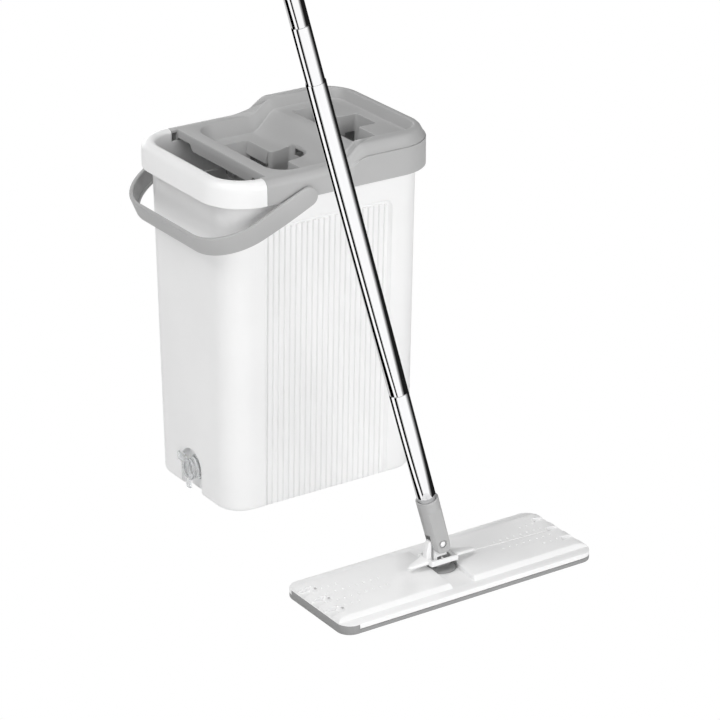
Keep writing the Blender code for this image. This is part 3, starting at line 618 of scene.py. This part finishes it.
def flap(slot, side):
    """The leaning flap at the top of a slot's far wall on one side of its notch, and the recess below it."""
    wall, top = slot[1], deck(slot[1])
    foot = top - FLAP_TALL
    lip = wall - FLAP_LEAN
    section = [(wall + 0.0010, top - 0.0010), (wall - 0.0002, top - 0.0014), (lip, foot + 0.0012),
               (lip + 0.0002, foot + 0.0004), (lip + 0.0009, foot), (wall + 0.0010, foot)]
    low, high = sorted((side * (slot[4] + 0.0050), side * (slot[2] - 0.0040)))
    recess = box("recess", (wall - 0.0005, low + 0.0020, foot - RECESS_TALL),
                 (wall + THROAT_WALL + 0.0050, high - 0.0020, foot - 0.0003))
    return side_prism("flap", section, low, high), recess


def make_lid():
    lid = lid_solid()
    for slot in (WASH_SLOT, SQUEEZE_SLOT):
        throat, hole = slot_tools(slot)
        join(lid, throat)
        cut(lid, hole)
        for side in (-1, 1):
            lip, recess = flap(slot, side)
            cut(lid, recess)
            join(lid, lip)
    end, side = WASH_SLOT[3], SQUEEZE_SLOT[4]
    cut(lid, box("wash_window", (end - 0.0010, -0.0100, 0.3795), (end + 0.0050, 0.0080, 0.3880)),
        box("squeeze_window", (0.0960, side - 0.0008, 0.3690), (0.1105, side + 0.0050, 0.3880)))
    cut(lid, box("pour_end", (-0.2, -0.2, 0.3), (lid_low.x, 0.2, 0.5)))
    face = PARTITION
    join(lid, box("partition", (face - 0.001, -0.105, 0.380), (face + LID_WALL, 0.105, LOW_TOP - 0.0015)))
    half = POUR_HALF
    rows = ((face, 0.330), (face, LOW_TOP - 0.0012), (face + 0.0004, LOW_TOP - 0.0004),
            (face + 0.0012, LOW_TOP + 0.0001), (face + 0.0012, OVER))
    cut(lid, loft("pour_gap", [[(-0.2, -half, z), (x, -half, z), (x, half, z), (-0.2, half, z)]
                               for x, z in rows]))
    half, (high, low) = half - 0.0005, FOOT_EDGE
    foot = [(half, 0.30), (half, high)]
    foot += [(0.0610 + 0.0070 * (1 - step / 8), ramp(step / 8, 0, 1, high, low)) for step in range(9)]
    foot += [(-y, z) for y, z in reversed(foot)]
    cut(lid, end_prism("partition_foot", foot, -0.2, face + LID_WALL + 0.0005))
    wall_slot = prism("wall_slot", tub_outline(RIM_BOTTOM, -0.001), 0.35, TUB_HEIGHT + 0.0005)
    cut(wall_slot, prism("wall_core", tub_outline(RIM_BOTTOM, TUB_WALL + 0.0006), 0.3, 0.5))
    cut(lid, wall_slot)
    for side in (-1, 1):
        near, far = sorted((side * 0.100, side * 0.120))
        clearance = STUD[2] + 0.001
        notch = rod("notch", clearance, near, far, "Y", sides=32)
        join(notch, box("notch_mouth", (-clearance, near, -0.03), (clearance, far, 0.0)))
        cut(lid, shift(notch, (STUD[0], 0.0, STUD[1])))
    piece(lid, "lid", GREY, "grey_plastic", "wringer_lid", smooth=32)


# -------- handle
def handle_section(tall, groove):
    """The band's section, inner face at 0: round edges and a channel along the inner face."""
    edge = 0.0012
    high = tall / 2 - edge
    points = arc((HANDLE[1] - edge, high), edge, 0, 90, 3) + arc((edge, high), edge, 90, 90, 3)
    flange = min(0.0030, tall / 4)
    return mirrored(points + [(0.0, tall / 2 - flange), (groove, tall / 2 - flange - 0.0004)])


def make_handle():
    """The bail: two straight arms with round ears over the studs, and a bar across the spout."""
    inside, thick, reach, corner = HANDLE
    straight, inner = reach - corner, corner - thick
    outward, forward = (0.0, 1.0), (-1.0, 0.0)
    path = [(EAR * math.cos(math.pi / 2 * step / 12), inside, outward) for step in range(13)]
    path += [(-straight * step / 12, inside, outward) for step in range(1, 13)]
    for step in range(1, 25):
        turn = math.pi / 2 * step / 24
        normal = (-math.sin(turn), math.cos(turn))
        path.append((-straight + inner * normal[0], inside + thick - corner + inner * normal[1], normal))
    bar_x, bar_y, _ = path[-1]
    path += [(bar_x, bar_y * (1 - step / 12), forward) for step in range(1, 12)]
    whole = path + [(bar_x, 0.0, forward)] + [(x, -y, (nx, -ny)) for x, y, (nx, ny) in reversed(path)]
    rings = []
    for x, y, normal in whole:
        if x > 0.0:
            tall = 2 * math.sqrt(max(EAR * EAR - x * x, 0.0016 ** 2))
            groove = 0.0
        else:
            tall = BAND_TALL + BAND_SWELL * math.sin(min(-x / straight, 1.0) * math.pi)
            groove = ramp(-x, *CHANNEL_START, 0.0, CHANNEL)
        rings.append([(x + normal[0] * out, y + normal[1] * out, z)
                      for out, z in handle_section(max(tall, 0.0034), groove)])
    handle = loft("handle_band", rings)
    for side in (-1, 1):
        cut(handle, rod("socket", STUD[2] + GAP, side * (inside - 0.01), side * (STUD_TIP + GAP), "Y", 32))
    handle.data.transform(Matrix.Rotation(-HANDLE_DROOP, 4, "Y"))
    shift(handle, (STUD[0], 0.0, STUD[1]))
    piece(handle, "handle", GREY, "grey_plastic", "bail_handle", smooth=40)


# -------- pole
def on_pole(made):
    """Stand a piece that was made along Z on the leaning pole."""
    made.data.transform(Matrix.Translation(PIN) @ Matrix.Rotation(-LEAN, 4, "Y"))
    return made


def tube(name, outer, start, end):
    """A thin tube with rolled ends."""
    inner = outer - TUBE_WALL
    edge = 0.0005
    profile = [(inner, start), (outer - edge, start), (outer, start + edge), (outer, end - edge),
               (outer - edge, end), (inner, end)]
    return on_pole(turned(name, profile, sides=96, looped=True))


def make_tubes():
    for name, body, radius, start, end in (
            ("lower_tube", "pole", POLE_RADIUS, TUBE_START, LOWER_SEAM),
            ("middle_tube", "pole", POLE_RADIUS, LOWER_SEAM + GAP, SLIDE_SEAM),
            ("upper_tube", "upper_pole", THIN_RADIUS, SLIDE_SEAM - 0.080, UPPER_SEAM),
            ("top_tube", "upper_pole", THIN_RADIUS, UPPER_SEAM + GAP, TUBE_END)):
        piece(tube(f"{name}_plated", radius, start, end), body, CHROME, "chromed_tube", name, smooth=50)


# -------- mop head
def plate_rings(profile):
    """The plate's outline at each (inset, z)."""
    return [level(outline(PLATE[0] - inset, PLATE[1] - inset, PLATE[2] - inset), z)
            for inset, z in profile]


def bumper(side, grow=0.0):
    """The sole's raised edge at one end of the plate, which also wraps round one corner."""
    top = PLATE_TOP - 0.001 + grow
    profile = [(-grow, SOLE_TOP - 0.001), (-grow, top - 0.0008), (0.0003 - grow, top - 0.0002),
               (0.0010 - grow, top), (BUMPER + grow, top), (BUMPER + grow, SOLE_TOP - 0.001)]
    ring = loft("ring", plate_rings(profile), looped=True)
    ends = sorted((side * (BUMPER_START - grow), side * 0.2))
    corner = PLATE[1] - PLATE[2] + grow
    sides = sorted((side * 0.1, -side * corner))
    return keep(ring, box("reach", (ends[0], sides[0], -0.1), (ends[1], sides[1], 0.1)))


def make_sole():
    rows = ((0.0012, 0.0), (0.0004, 0.0004), (0.0, 0.0012), (0.0, SOLE_TOP - 0.0003), (0.0003, SOLE_TOP))
    sole = loft("sole_rubber", plate_rings(rows))
    length, width, out = HOOK_STRIP
    for side in (-1, 1):
        join(sole, bumper(side))
        seat = outline(length + GAP, width + GAP, 0.003, (0.0, side * out))
        cut(sole, prism("seat", seat, -0.01, 0.0018))
    piece(shift(sole, MOP), "head", SOLE, "soft_sole", "mop_sole")


def deck_block(side):
    """One deck: sloped front and back, a slanted round edge at the valley, a long round fall at its end."""
    rise, run = DECK_TOP - PLATE_TOP, 0.0045
    steps = []
    for step in range(1, 8):
        turn = math.pi / 2 * step / 7
        steps.append((VALLEY_HALF + 0.0020 * (1 - math.cos(turn)), rise * math.sin(turn)))
    steps += [(0.040, rise), (0.080, rise), (0.120, rise)]
    for step in range(14):
        turn = math.pi / 2 * (1 - step / 13)
        steps.append((0.1485 + 0.0155 * math.cos(turn), max(rise * math.sin(turn), 0.00005)))
    rings = []
    for x, tall in steps:
        back = run * tall / rise
        half = [(DECK_HALF, PLATE_TOP - 0.001), (DECK_HALF, PLATE_TOP),
                (DECK_HALF - back * 0.80, PLATE_TOP + tall * 0.82),
                (DECK_HALF - back - 0.0001, PLATE_TOP + tall * 0.96),
                (DECK_HALF - back - 0.0010, PLATE_TOP + tall)]
        section = half + [(-y, z) for y, z in reversed(half)]
        slant = 0.075 * max(1 - (x - VALLEY_HALF) / 0.060, 0.0)
        rings.append([(side * (x + slant * y), side * y, z) for y, z in section])
    return loft("deck", rings)


def many(name, makers):
    """Several separate bodies as one object."""
    made = makers[0]
    for other in makers[1:]:
        shape = bmesh.new()
        shape.from_mesh(made.data)
        shape.from_mesh(other.data)
        shape.to_mesh(made.data)
        shape.free()
        bpy.data.objects.remove(other)
    made.name = name
    return made


def dimple(x, y):
    """A small hollow for the deck, as the ball that presses it in."""
    radius = 0.0016
    rows = [(radius * math.sin(math.pi * step / 8), -radius * math.cos(math.pi * step / 8))
            for step in range(1, 8)]
    return shift(turned("dimple", rows, sides=14), (x, y, DECK_TOP + radius * 0.45))


def notch_block(side, y):
    """A grip notch: flat floor, upright sides and a sloped inner end."""
    inner, slope, out, half = NOTCH_IN, 0.0035, 0.172, NOTCH_HALF
    rings = []
    for z, x in ((PLATE_TOP + 0.0002, inner + slope), (DECK_TOP - 0.0012, inner + slope * 0.35),
                 (DECK_TOP - 0.0002, inner + 0.0001), (0.03, inner - 0.0006)):
        corners = [(x, y - half), (out, y - half), (out, y + half), (x, y + half)]
        rings.append([(side * a, b, z) for a, b in corners])
    return loft("notch", rings)


def make_plate():
    low = SOLE_TOP + GAP
    rows = ((0.0006, low), (0.0, low + 0.0006), (0.0, PLATE_TOP - 0.0012), (0.0003, PLATE_TOP - 0.0004),
            (0.0011, PLATE_TOP))
    plate = loft("plate_board", plate_rings(rows))
    tools, holes, dots = [], [], []
    for side in (-1, 1):
        join(plate, deck_block(side))
        for y in (-NOTCH_PITCH, 0.0, NOTCH_PITCH):
            tools.append(notch_block(side, y))
            x = side * (NOTCH_IN - 0.0004)
            holes.append(box("hole", (x - 0.0011, y - 0.0020, 0.0070), (x + 0.0011, y + 0.0020, 0.03)))
        for number in range(8):
            x = side * (DOT_START + DOT_PITCH * number)
            for y in DOT_ROWS[:2 if number >= 5 else 1]:
                dots += [dimple(x, -y), dimple(x, y)]
    cut(plate, many("notches", tools), many("holes", holes), many("dots", dots))
    wedge = mirrored([(0.046, -0.0062), (0.048, -0.0068), (0.1430, -0.0006)])
    cut(plate, prism("groove", wedge, DECK_TOP - 0.0004, 0.03))
    for side in (-1, 1):
        cut(plate, bumper(side, GAP))
        for radius, top in ((HUB_SCREW_HOLE, 0.05), (0.0034, 0.0082)):
            room = rod("screw_room", radius, 0.0, top, sides=24)
            cut(plate, shift(room, (side * HUB_SCREW_OUT, 0.0, 0.0)))
    cut(plate, rod("hub_room", HUB_RADIUS + 0.0008, PLATE_TOP, 0.05))
    piece(shift(plate, MOP), "head", WHITE, "white_plastic", "mop_plate", smooth=38)


def make_hub():
    """The round boss in the valley, with the barrel of the rocker's hinge across it."""
    base = PLATE_TOP + GAP
    rows = [(HUB_RADIUS, base), (HUB_RADIUS - 0.0002, base + 0.0008)]
    for step in range(1, 7):
        turn = math.pi / 2 * step / 6
        rows.append((HUB_RADIUS - 0.0075 * (1 - math.cos(turn)) - 0.0002,
                     base + 0.0008 + 0.0024 * math.sin(turn)))
    hub = turned("hub_dome", rows)
    barrel = rod("barrel", 0.0050, -0.0085, 0.0085, "X", sides=48)
    neck = box("neck", (-0.0085, -0.0042, base), (0.0085, 0.0042, ROCK_AXIS))
    join(hub, shift(barrel, (0.0, 0.0, ROCK_AXIS)), neck)
    bore = rod("bore", ROCK_PIN + GAP, -0.02, 0.02, "X", sides=32)
    cut(hub, shift(bore, (0.0, 0.0, ROCK_AXIS)))
    for side in (-1, 1):
        hole = rod("hole", HUB_SCREW_HOLE, 0.0, 0.0172, sides=24)
        cut(hub, shift(hole, (side * HUB_SCREW_OUT, 0.0, 0.0)))
    piece(shift(hub, MOP), "head", DARK_GREY, "dark_grey_plastic", "head_hub")


def arm(root, tip):
    """A pillow-shaped arm of the rocker that narrows to a round tip."""
    rings = []
    for step in range(13):
        part = step / 12
        x = root + (tip - root) * part
        half, low, high = 0.0085 - 0.0063 * part, 0.0005 - 0.0025 * part, 0.0062 - 0.0052 * part
        if part > 0.9:
            close = math.sqrt(max(1 - ((part - 0.9) / 0.105) ** 2, 0.0))
            half, middle = half * close, (low + high) / 2
            low, high = middle - (middle - low) * close, middle + (high - middle) * close
        ring = []
        for side in range(28):
            turn = 2 * math.pi * side / 28
            across, up = math.cos(turn), math.sin(turn)
            ring.append((x, half * math.copysign(abs(across) ** 0.55, across),
                         (low + high) / 2 + (high - low) / 2 * math.copysign(abs(up) ** 0.6, up)))
        rings.append(ring)
    return loft("arm", rings)


def make_rocker():
    """White cradle: a tray with two arms, the lug for the pole's pin and the horn that limits its lean."""
    pin = PIN - MOP
    up = pin.z - ROCK_AXIS
    left, right = pin.x - 0.0175, pin.x + 0.0185
    tray, rim, room = (outline((right - left) / 2 - inset, half, radius, ((left + right) / 2, 0.0), steps=5)
                       for inset, half, radius in ((0.0, 0.0135, 0.0020), (0.0004, 0.0131, 0.0016),
                                                   (0.0022, 0.0115, 0.0010)))
    rocker = loft("rocker_cradle", [level(tray, 0.0004), level(tray, 0.0058), level(rim, 0.0062)])
    cut(rocker, prism("tray", room, 0.0030, 0.02))
    join(rocker, box("cross_rib", (pin.x - 0.0008, -0.0125, 0.0020), (pin.x + 0.0008, 0.0125, 0.0056)),
         box("tab", (right - 0.0105, 0.0098, 0.0020), (right - 0.0085, 0.0128, 0.0098)))
    cut(rocker, box("hub_room", (-0.0090, -0.0075, -0.02), (0.0090, 0.0075, 0.0052)))
    for side in (-1, 1):
        low, high = sorted((side * 0.0090, side * 0.0125))
        join(rocker, box("cheek", (low, -0.0050, -0.0045), (high, 0.0050, 0.0050)))
    join(rocker, arm(left + 0.001, -ARM_TIP), arm(right - 0.001, ARM_TIP))
    lug = [(pin.x - 0.0085, 0.0010), (pin.x + 0.0085, 0.0010), *arc((pin.x, up), 0.0075, 0, 180, 24)]
    join(rocker, side_prism("lug", lug, -0.0046, 0.0046))
    front, back = [], []
    for step in range(13):
        part = step / 12
        z = 0.001 + 0.0248 * part
        front.append((left - 0.0006 * math.sin(math.pi * part) + 0.0036 * part ** 3, z))
        back.append((left + 0.0068 - 0.0008 * math.sin(math.pi * part) + 0.0002 * part, z))
    horn = side_prism("horn", front + [(left + 0.0052, 0.0264)] + back[::-1], -0.0040, 0.0040)
    join(rocker, soften(horn, 0.0009, 3, 40))
    cut(rocker, box("hinge_room", (-0.0089, -0.0065, -0.02), (0.0089, 0.0065, 0.0057)))
    cut(rocker, rod("rock_bore", ROCK_PIN + GAP, -0.0132, 0.0132, "X", sides=32))
    cut(rocker, shift(rod("pole_bore", FORK_PIN + GAP, -0.02, 0.02, "Y", sides=32), (pin.x, 0.0, up)))
    shift(rocker, MOP + Vector((0.0, 0.0, ROCK_AXIS)))
    piece(rocker, "cradle", WHITE, "white_plastic", "rocker", smooth=38)


def make_socket():
    """Forked socket: a tapering collar with two flat cheeks and a round foot about the hinge pin."""
    socket = turned("socket_fork", [(0.0121, -0.0120), (0.0126, SOCKET_TOP - 0.0005), (0.0122, SOCKET_TOP)],
                    sides=96)
    for side in (-1, 1):
        rings = []
        for out in (FORK_FLAT, 0.0300):
            points = [(-0.03, -0.03), (0.03, -0.03), (0.03, -0.02), (0.0112, -0.02)]
            points += arc((0.0080, 0.0418), 0.0032, 0, 90, 6) + arc((-0.0080, 0.0418), 0.0032, 90, 90, 6)
            points += [(-0.0112, -0.02), (-0.03, -0.02)]
            rings.append([(x, side * out, z) for x, z in points])
        cut(socket, loft("flat", rings))
    bullet = [(0.020, 0.100), (-0.020, 0.100), *arc((0.0, 0.0), FORK_FOOT, 180, 180, 32)]
    keep(socket, side_prism("bullet", bullet, -0.03, 0.03))
    spigot = POLE_RADIUS - TUBE_WALL - GAP
    tube_room = rod("tube_room", POLE_RADIUS + 0.0001, TUBE_START - GAP, 0.1, sides=96)
    join(socket, rod("spigot", spigot, SOCKET_TOP - 0.01, 0.085))
    cut(tube_room, rod("spigot_room", spigot, 0.0, 0.2))
    pin_hole = rod("pin_hole", FORK_PIN + GAP, -0.02, 0.02, "Y", sides=32)
    cut(socket, pin_hole, tube_room, box("gap", (-0.02, -FORK_GAP, -0.03), (0.02, FORK_GAP, 0.0155)))
    for side in (-1, 1):
        recess = turned("recess", [(0.0047, side * 0.0078), (0.0047, side * 0.0092),
                                   (0.0051, side * FORK_FLAT), (0.0051, side * 0.02)], "Y", sides=40)
        cut(socket, recess)
    piece(on_pole(socket), "pole", GREY, "grey_plastic", "fork_socket", smooth=15)
    head, rows = 0.0031, []
    for step in range(5):
        turn = math.pi / 2 * step / 4
        rows.append((head * math.sin(turn) + 0.0001, -0.0090 - 0.0008 * math.cos(turn)))
    rows += [(head, -0.0081), (FORK_PIN, -0.0081)]
    pin = turned("fork_pin_head", mirrored(rows), "Y", sides=40)
    piece(on_pole(pin), "pole", WHITE, "white_plastic", "fork_pin", smooth=40)


# -------- grip and cap
def make_grip():
    start, end = GRIP
    rows = [(0.0112, start), (0.0118, start + 0.0006), (0.0135, start + 0.0045), (0.0137, start + 0.006)]
    for ridge in range(14):
        foot = start + 0.012 + 0.0093 * ridge
        thick = 0.0134 - 0.0006 * math.sin(math.pi * ridge / 13)
        rows += [(thick, foot), (thick - 0.0007, foot + 0.0008), (thick - 0.0007, foot + 0.0020),
                 (thick, foot + 0.0028)]
    rows += [(0.0138, end - 0.008), (0.0138, end - 0.0008), (0.0131, end)]
    grip = turned("grip_sleeve", rows)
    cut(grip, rod("room", THIN_RADIUS + GAP, start - 0.01, TUBE_END + GAP),
        rod("core", 0.0090, start, end + 0.01))
    piece(on_pole(grip), "upper_pole", GREY, "grey_plastic", "grip")

    start = end + GAP
    rows = [(0.0080, start - 0.015), (0.0086, start - 0.0144), (0.0086, start), (0.0131, start),
            (0.0138, start + 0.0008), (0.0138, start + 0.0055), (0.0132, start + 0.0085),
            (0.0110, start + 0.012)]
    cap = turned("cap_with_eye", rows)
    eye = mirrored([(0.0120, -0.0045), (0.0130, -0.0041), (0.0135, -0.003)])
    join(cap, shift(turned("eye", eye, "Y"), (0.0, 0.0, start + 0.020)))
    hole = mirrored([(0.0086, -0.0050), (0.0078, -0.0036), (0.0075, -0.002)])
    cut(cap, shift(turned("hole", hole, "Y"), (0.0, 0.0, start + 0.021)))
    piece(on_pole(cap), "upper_pole", GREY, "grey_plastic", "hanging_cap")


# -------- drain plug
def make_plug():
    """A soft clear stopper: ribbed shank, flange and a round head with its finger tab and pull tab."""
    face, shank, front = NICHE[2] - GAP, DRAIN_HOLE - GAP, plug_low.x
    rows = [(shank - 0.0015, face + 0.0092), (shank, face + 0.0076), (shank, face), (0.0148, face),
            (0.0150, face - 0.0004), (0.0150, face - 0.0021), (0.0146, face - 0.0026),
            (0.0122, face - 0.0034), (0.0120, face - 0.0040)]
    rows += [(radius, front + out) for radius, out in (
        (0.0120, 0.0042), (0.0127, 0.0036), (0.0129, 0.0030), (0.0129, 0.0014), (0.0125, 0.0008),
        (0.0105, 0.0004), (0.0098, 0.0009), (0.0060, 0.0012))]
    plug = turned("plug_clear", rows, "X")
    for left, right, bottom, top in ((0.006, 0.0235, 0.0050, 0.0150), (-0.0045, 0.0045, -0.0235, -0.008)):
        middle = ((left + right) / 2, (bottom + top) / 2)
        points = outline((right - left) / 2, (top - bottom) / 2, 0.0022, middle, steps=6)
        rings = [[(x, y, z) for y, z in points] for x in (front + 0.0014, front + 0.0036)]
        join(plug, loft("tab", rings))
    cut(plug, box("slit", (front - 0.001, -0.0014, -0.0060), (front + 0.0030, 0.0014, 0.0060)))
    shift(plug, (0.0, *DRAIN))
    piece(soften(plug, 0.0003, 2, 50), "plug", CLEAR, "clear_plastic", "drain_plug", smooth=40)


# -------- finishes of the CAD nodes
def finish_nodes():
    finishes = {"white_plastic": WHITE, "grey_plastic": GREY, "dark_grey_plastic": DARK_GREY,
                "clear_plastic": CLEAR, "chromed_tube": CHROME, "steel": STEEL, "soft_sole": SOLE,
                "hook_strip": HOOKS}
    for row in frame["record"]["subparts"]:
        materials = frame["nodes"][row["node"]].data.materials
        materials.clear()
        materials.append(finishes[row["material_slot"]])


# -------- studio
def studio_card(name, low, high, shade):
    """A curved card, between a low and a high edge, that only reflections see."""
    def fill(shape):
        bottom, top = ([shape.verts.new(point) for point in row] for row in (low, high))
        strip(shape, bottom, top)
    card = new_object(name, fill)
    card.data.materials.append(studio_finish(name, 0.0, shade))
    card.data.materials[0].cycles.emission_sampling = "NONE"
    card.visible_camera = False
    card.visible_diffuse = False
    card.visible_shadow = False
    card.visible_transmission = False


def pole_reflections(view):
    """Where a tube's streaks come from: upright strips that stand in a ring round the pole's axis.

    Each strip fills the directions that its part of the tube's width mirrors towards the camera.
    """
    axis = Vector((-math.sin(LEAN), 0.0, math.cos(LEAN)))
    across = axis.cross(view).normalized()
    if across.dot(view.cross(Vector((0.0, 0.0, 1.0)))) < 0:
        across = -across
    toward = across.cross(axis).normalized()
    if toward.dot(view) > 0:
        toward = -toward
    ring, foot, top = 0.05, -0.012, 1.05
    for number, (start, end, shade) in enumerate(STREAKS):
        low, high = [], []
        steps = max(2, int((end - start) * 40))
        for step in range(steps + 1):
            turn = 2 * math.asin(start + (end - start) * step / steps)
            way = across * math.sin(turn) + toward * math.cos(turn)
            low.append(PIN + axis * foot + way * ring)
            high.append(PIN + axis * top + way * ring)
        studio_card(f"streak_card_{number}", low, high, shade)


def area_light(name, place, aim_high, size, power):
    light = bpy.data.lights.new(name, "AREA")
    light.shape = "RECTANGLE"
    light.size, light.size_y = size
    light.energy = power
    made = bpy.data.objects.new(name, light)
    made.location = place
    made.rotation_euler = (Vector(place) - Vector((0.0, 0.0, aim_high))).to_track_quat("Z", "Y").to_euler()
    bpy.context.scene.collection.objects.link(made)


def studio_finish(name, tone, glow):
    """A matt grey with a white glow, for the studio's own surfaces."""
    finish, _, shader = new_finish(name)
    set_values(shader, {"Base Color": (tone, tone, tone, 1.0), "Roughness": 0.9, "Specular IOR Level": 0.0,
                        "Emission Color": (1.0, 1.0, 1.0, 1.0), "Emission Strength": glow})
    return finish


def only_camera(made):
    """A white background that neither lights the object nor shows in its gloss."""
    made.visible_diffuse = False
    made.visible_glossy = False
    made.visible_shadow = False
    made.data.materials[0].cycles.emission_sampling = "NONE"


def make_studio():
    scene = bpy.context.scene
    scene.view_settings.view_transform = "Standard"
    corners = ((-9, -9, 0), (9, -9, 0), (9, 9, 0), (-9, 9, 0))
    floor = new_object("studio_floor", lambda shape: shape.faces.new([shape.verts.new(c) for c in corners]))
    floor.data.materials.append(studio_finish("pale_floor", 0.9, 0.05))
    floor.location.z = -0.0010
    floor.visible_camera = False
    sweep = turned("studio_sweep", [(8.0, 0.0), (8.6, 0.2), (8.8, 1.0), (8.8, 7.0)], sides=48)
    sweep.data.materials.append(studio_finish("white_sweep", 0.0, 1.0))
    sweep.location.z = -0.0006
    only_camera(sweep)

    world = bpy.data.worlds.new("studio")
    world.use_nodes = True
    set_values(world.node_tree.nodes["Background"], {"Color": (1.0, 1.0, 1.0, 1.0), "Strength": 0.10})
    scene.world = world
    for light in LIGHTS:
        area_light(*light)

    camera = bpy.data.cameras.new("camera")
    camera.sensor_width = 36.0
    camera.lens = CAMERA_LENS
    made = bpy.data.objects.new("camera", camera)
    flat = math.cos(CAMERA_TILT)
    back = Vector((math.sin(CAMERA_PAN) * flat, -math.cos(CAMERA_PAN) * flat, math.sin(CAMERA_TILT)))
    made.location = LOOK_AT + back * CAMERA_AT
    made.rotation_euler = back.to_track_quat("Z", "Y").to_euler()
    scene.collection.objects.link(made)
    scene.camera = made
    pole_reflections(-back)


finish_nodes()
make_studio()
make_tub()
make_lid()
make_handle()
make_tubes()
make_socket()
make_grip()
make_rocker()
make_hub()
make_plate()
make_sole()
make_plug()
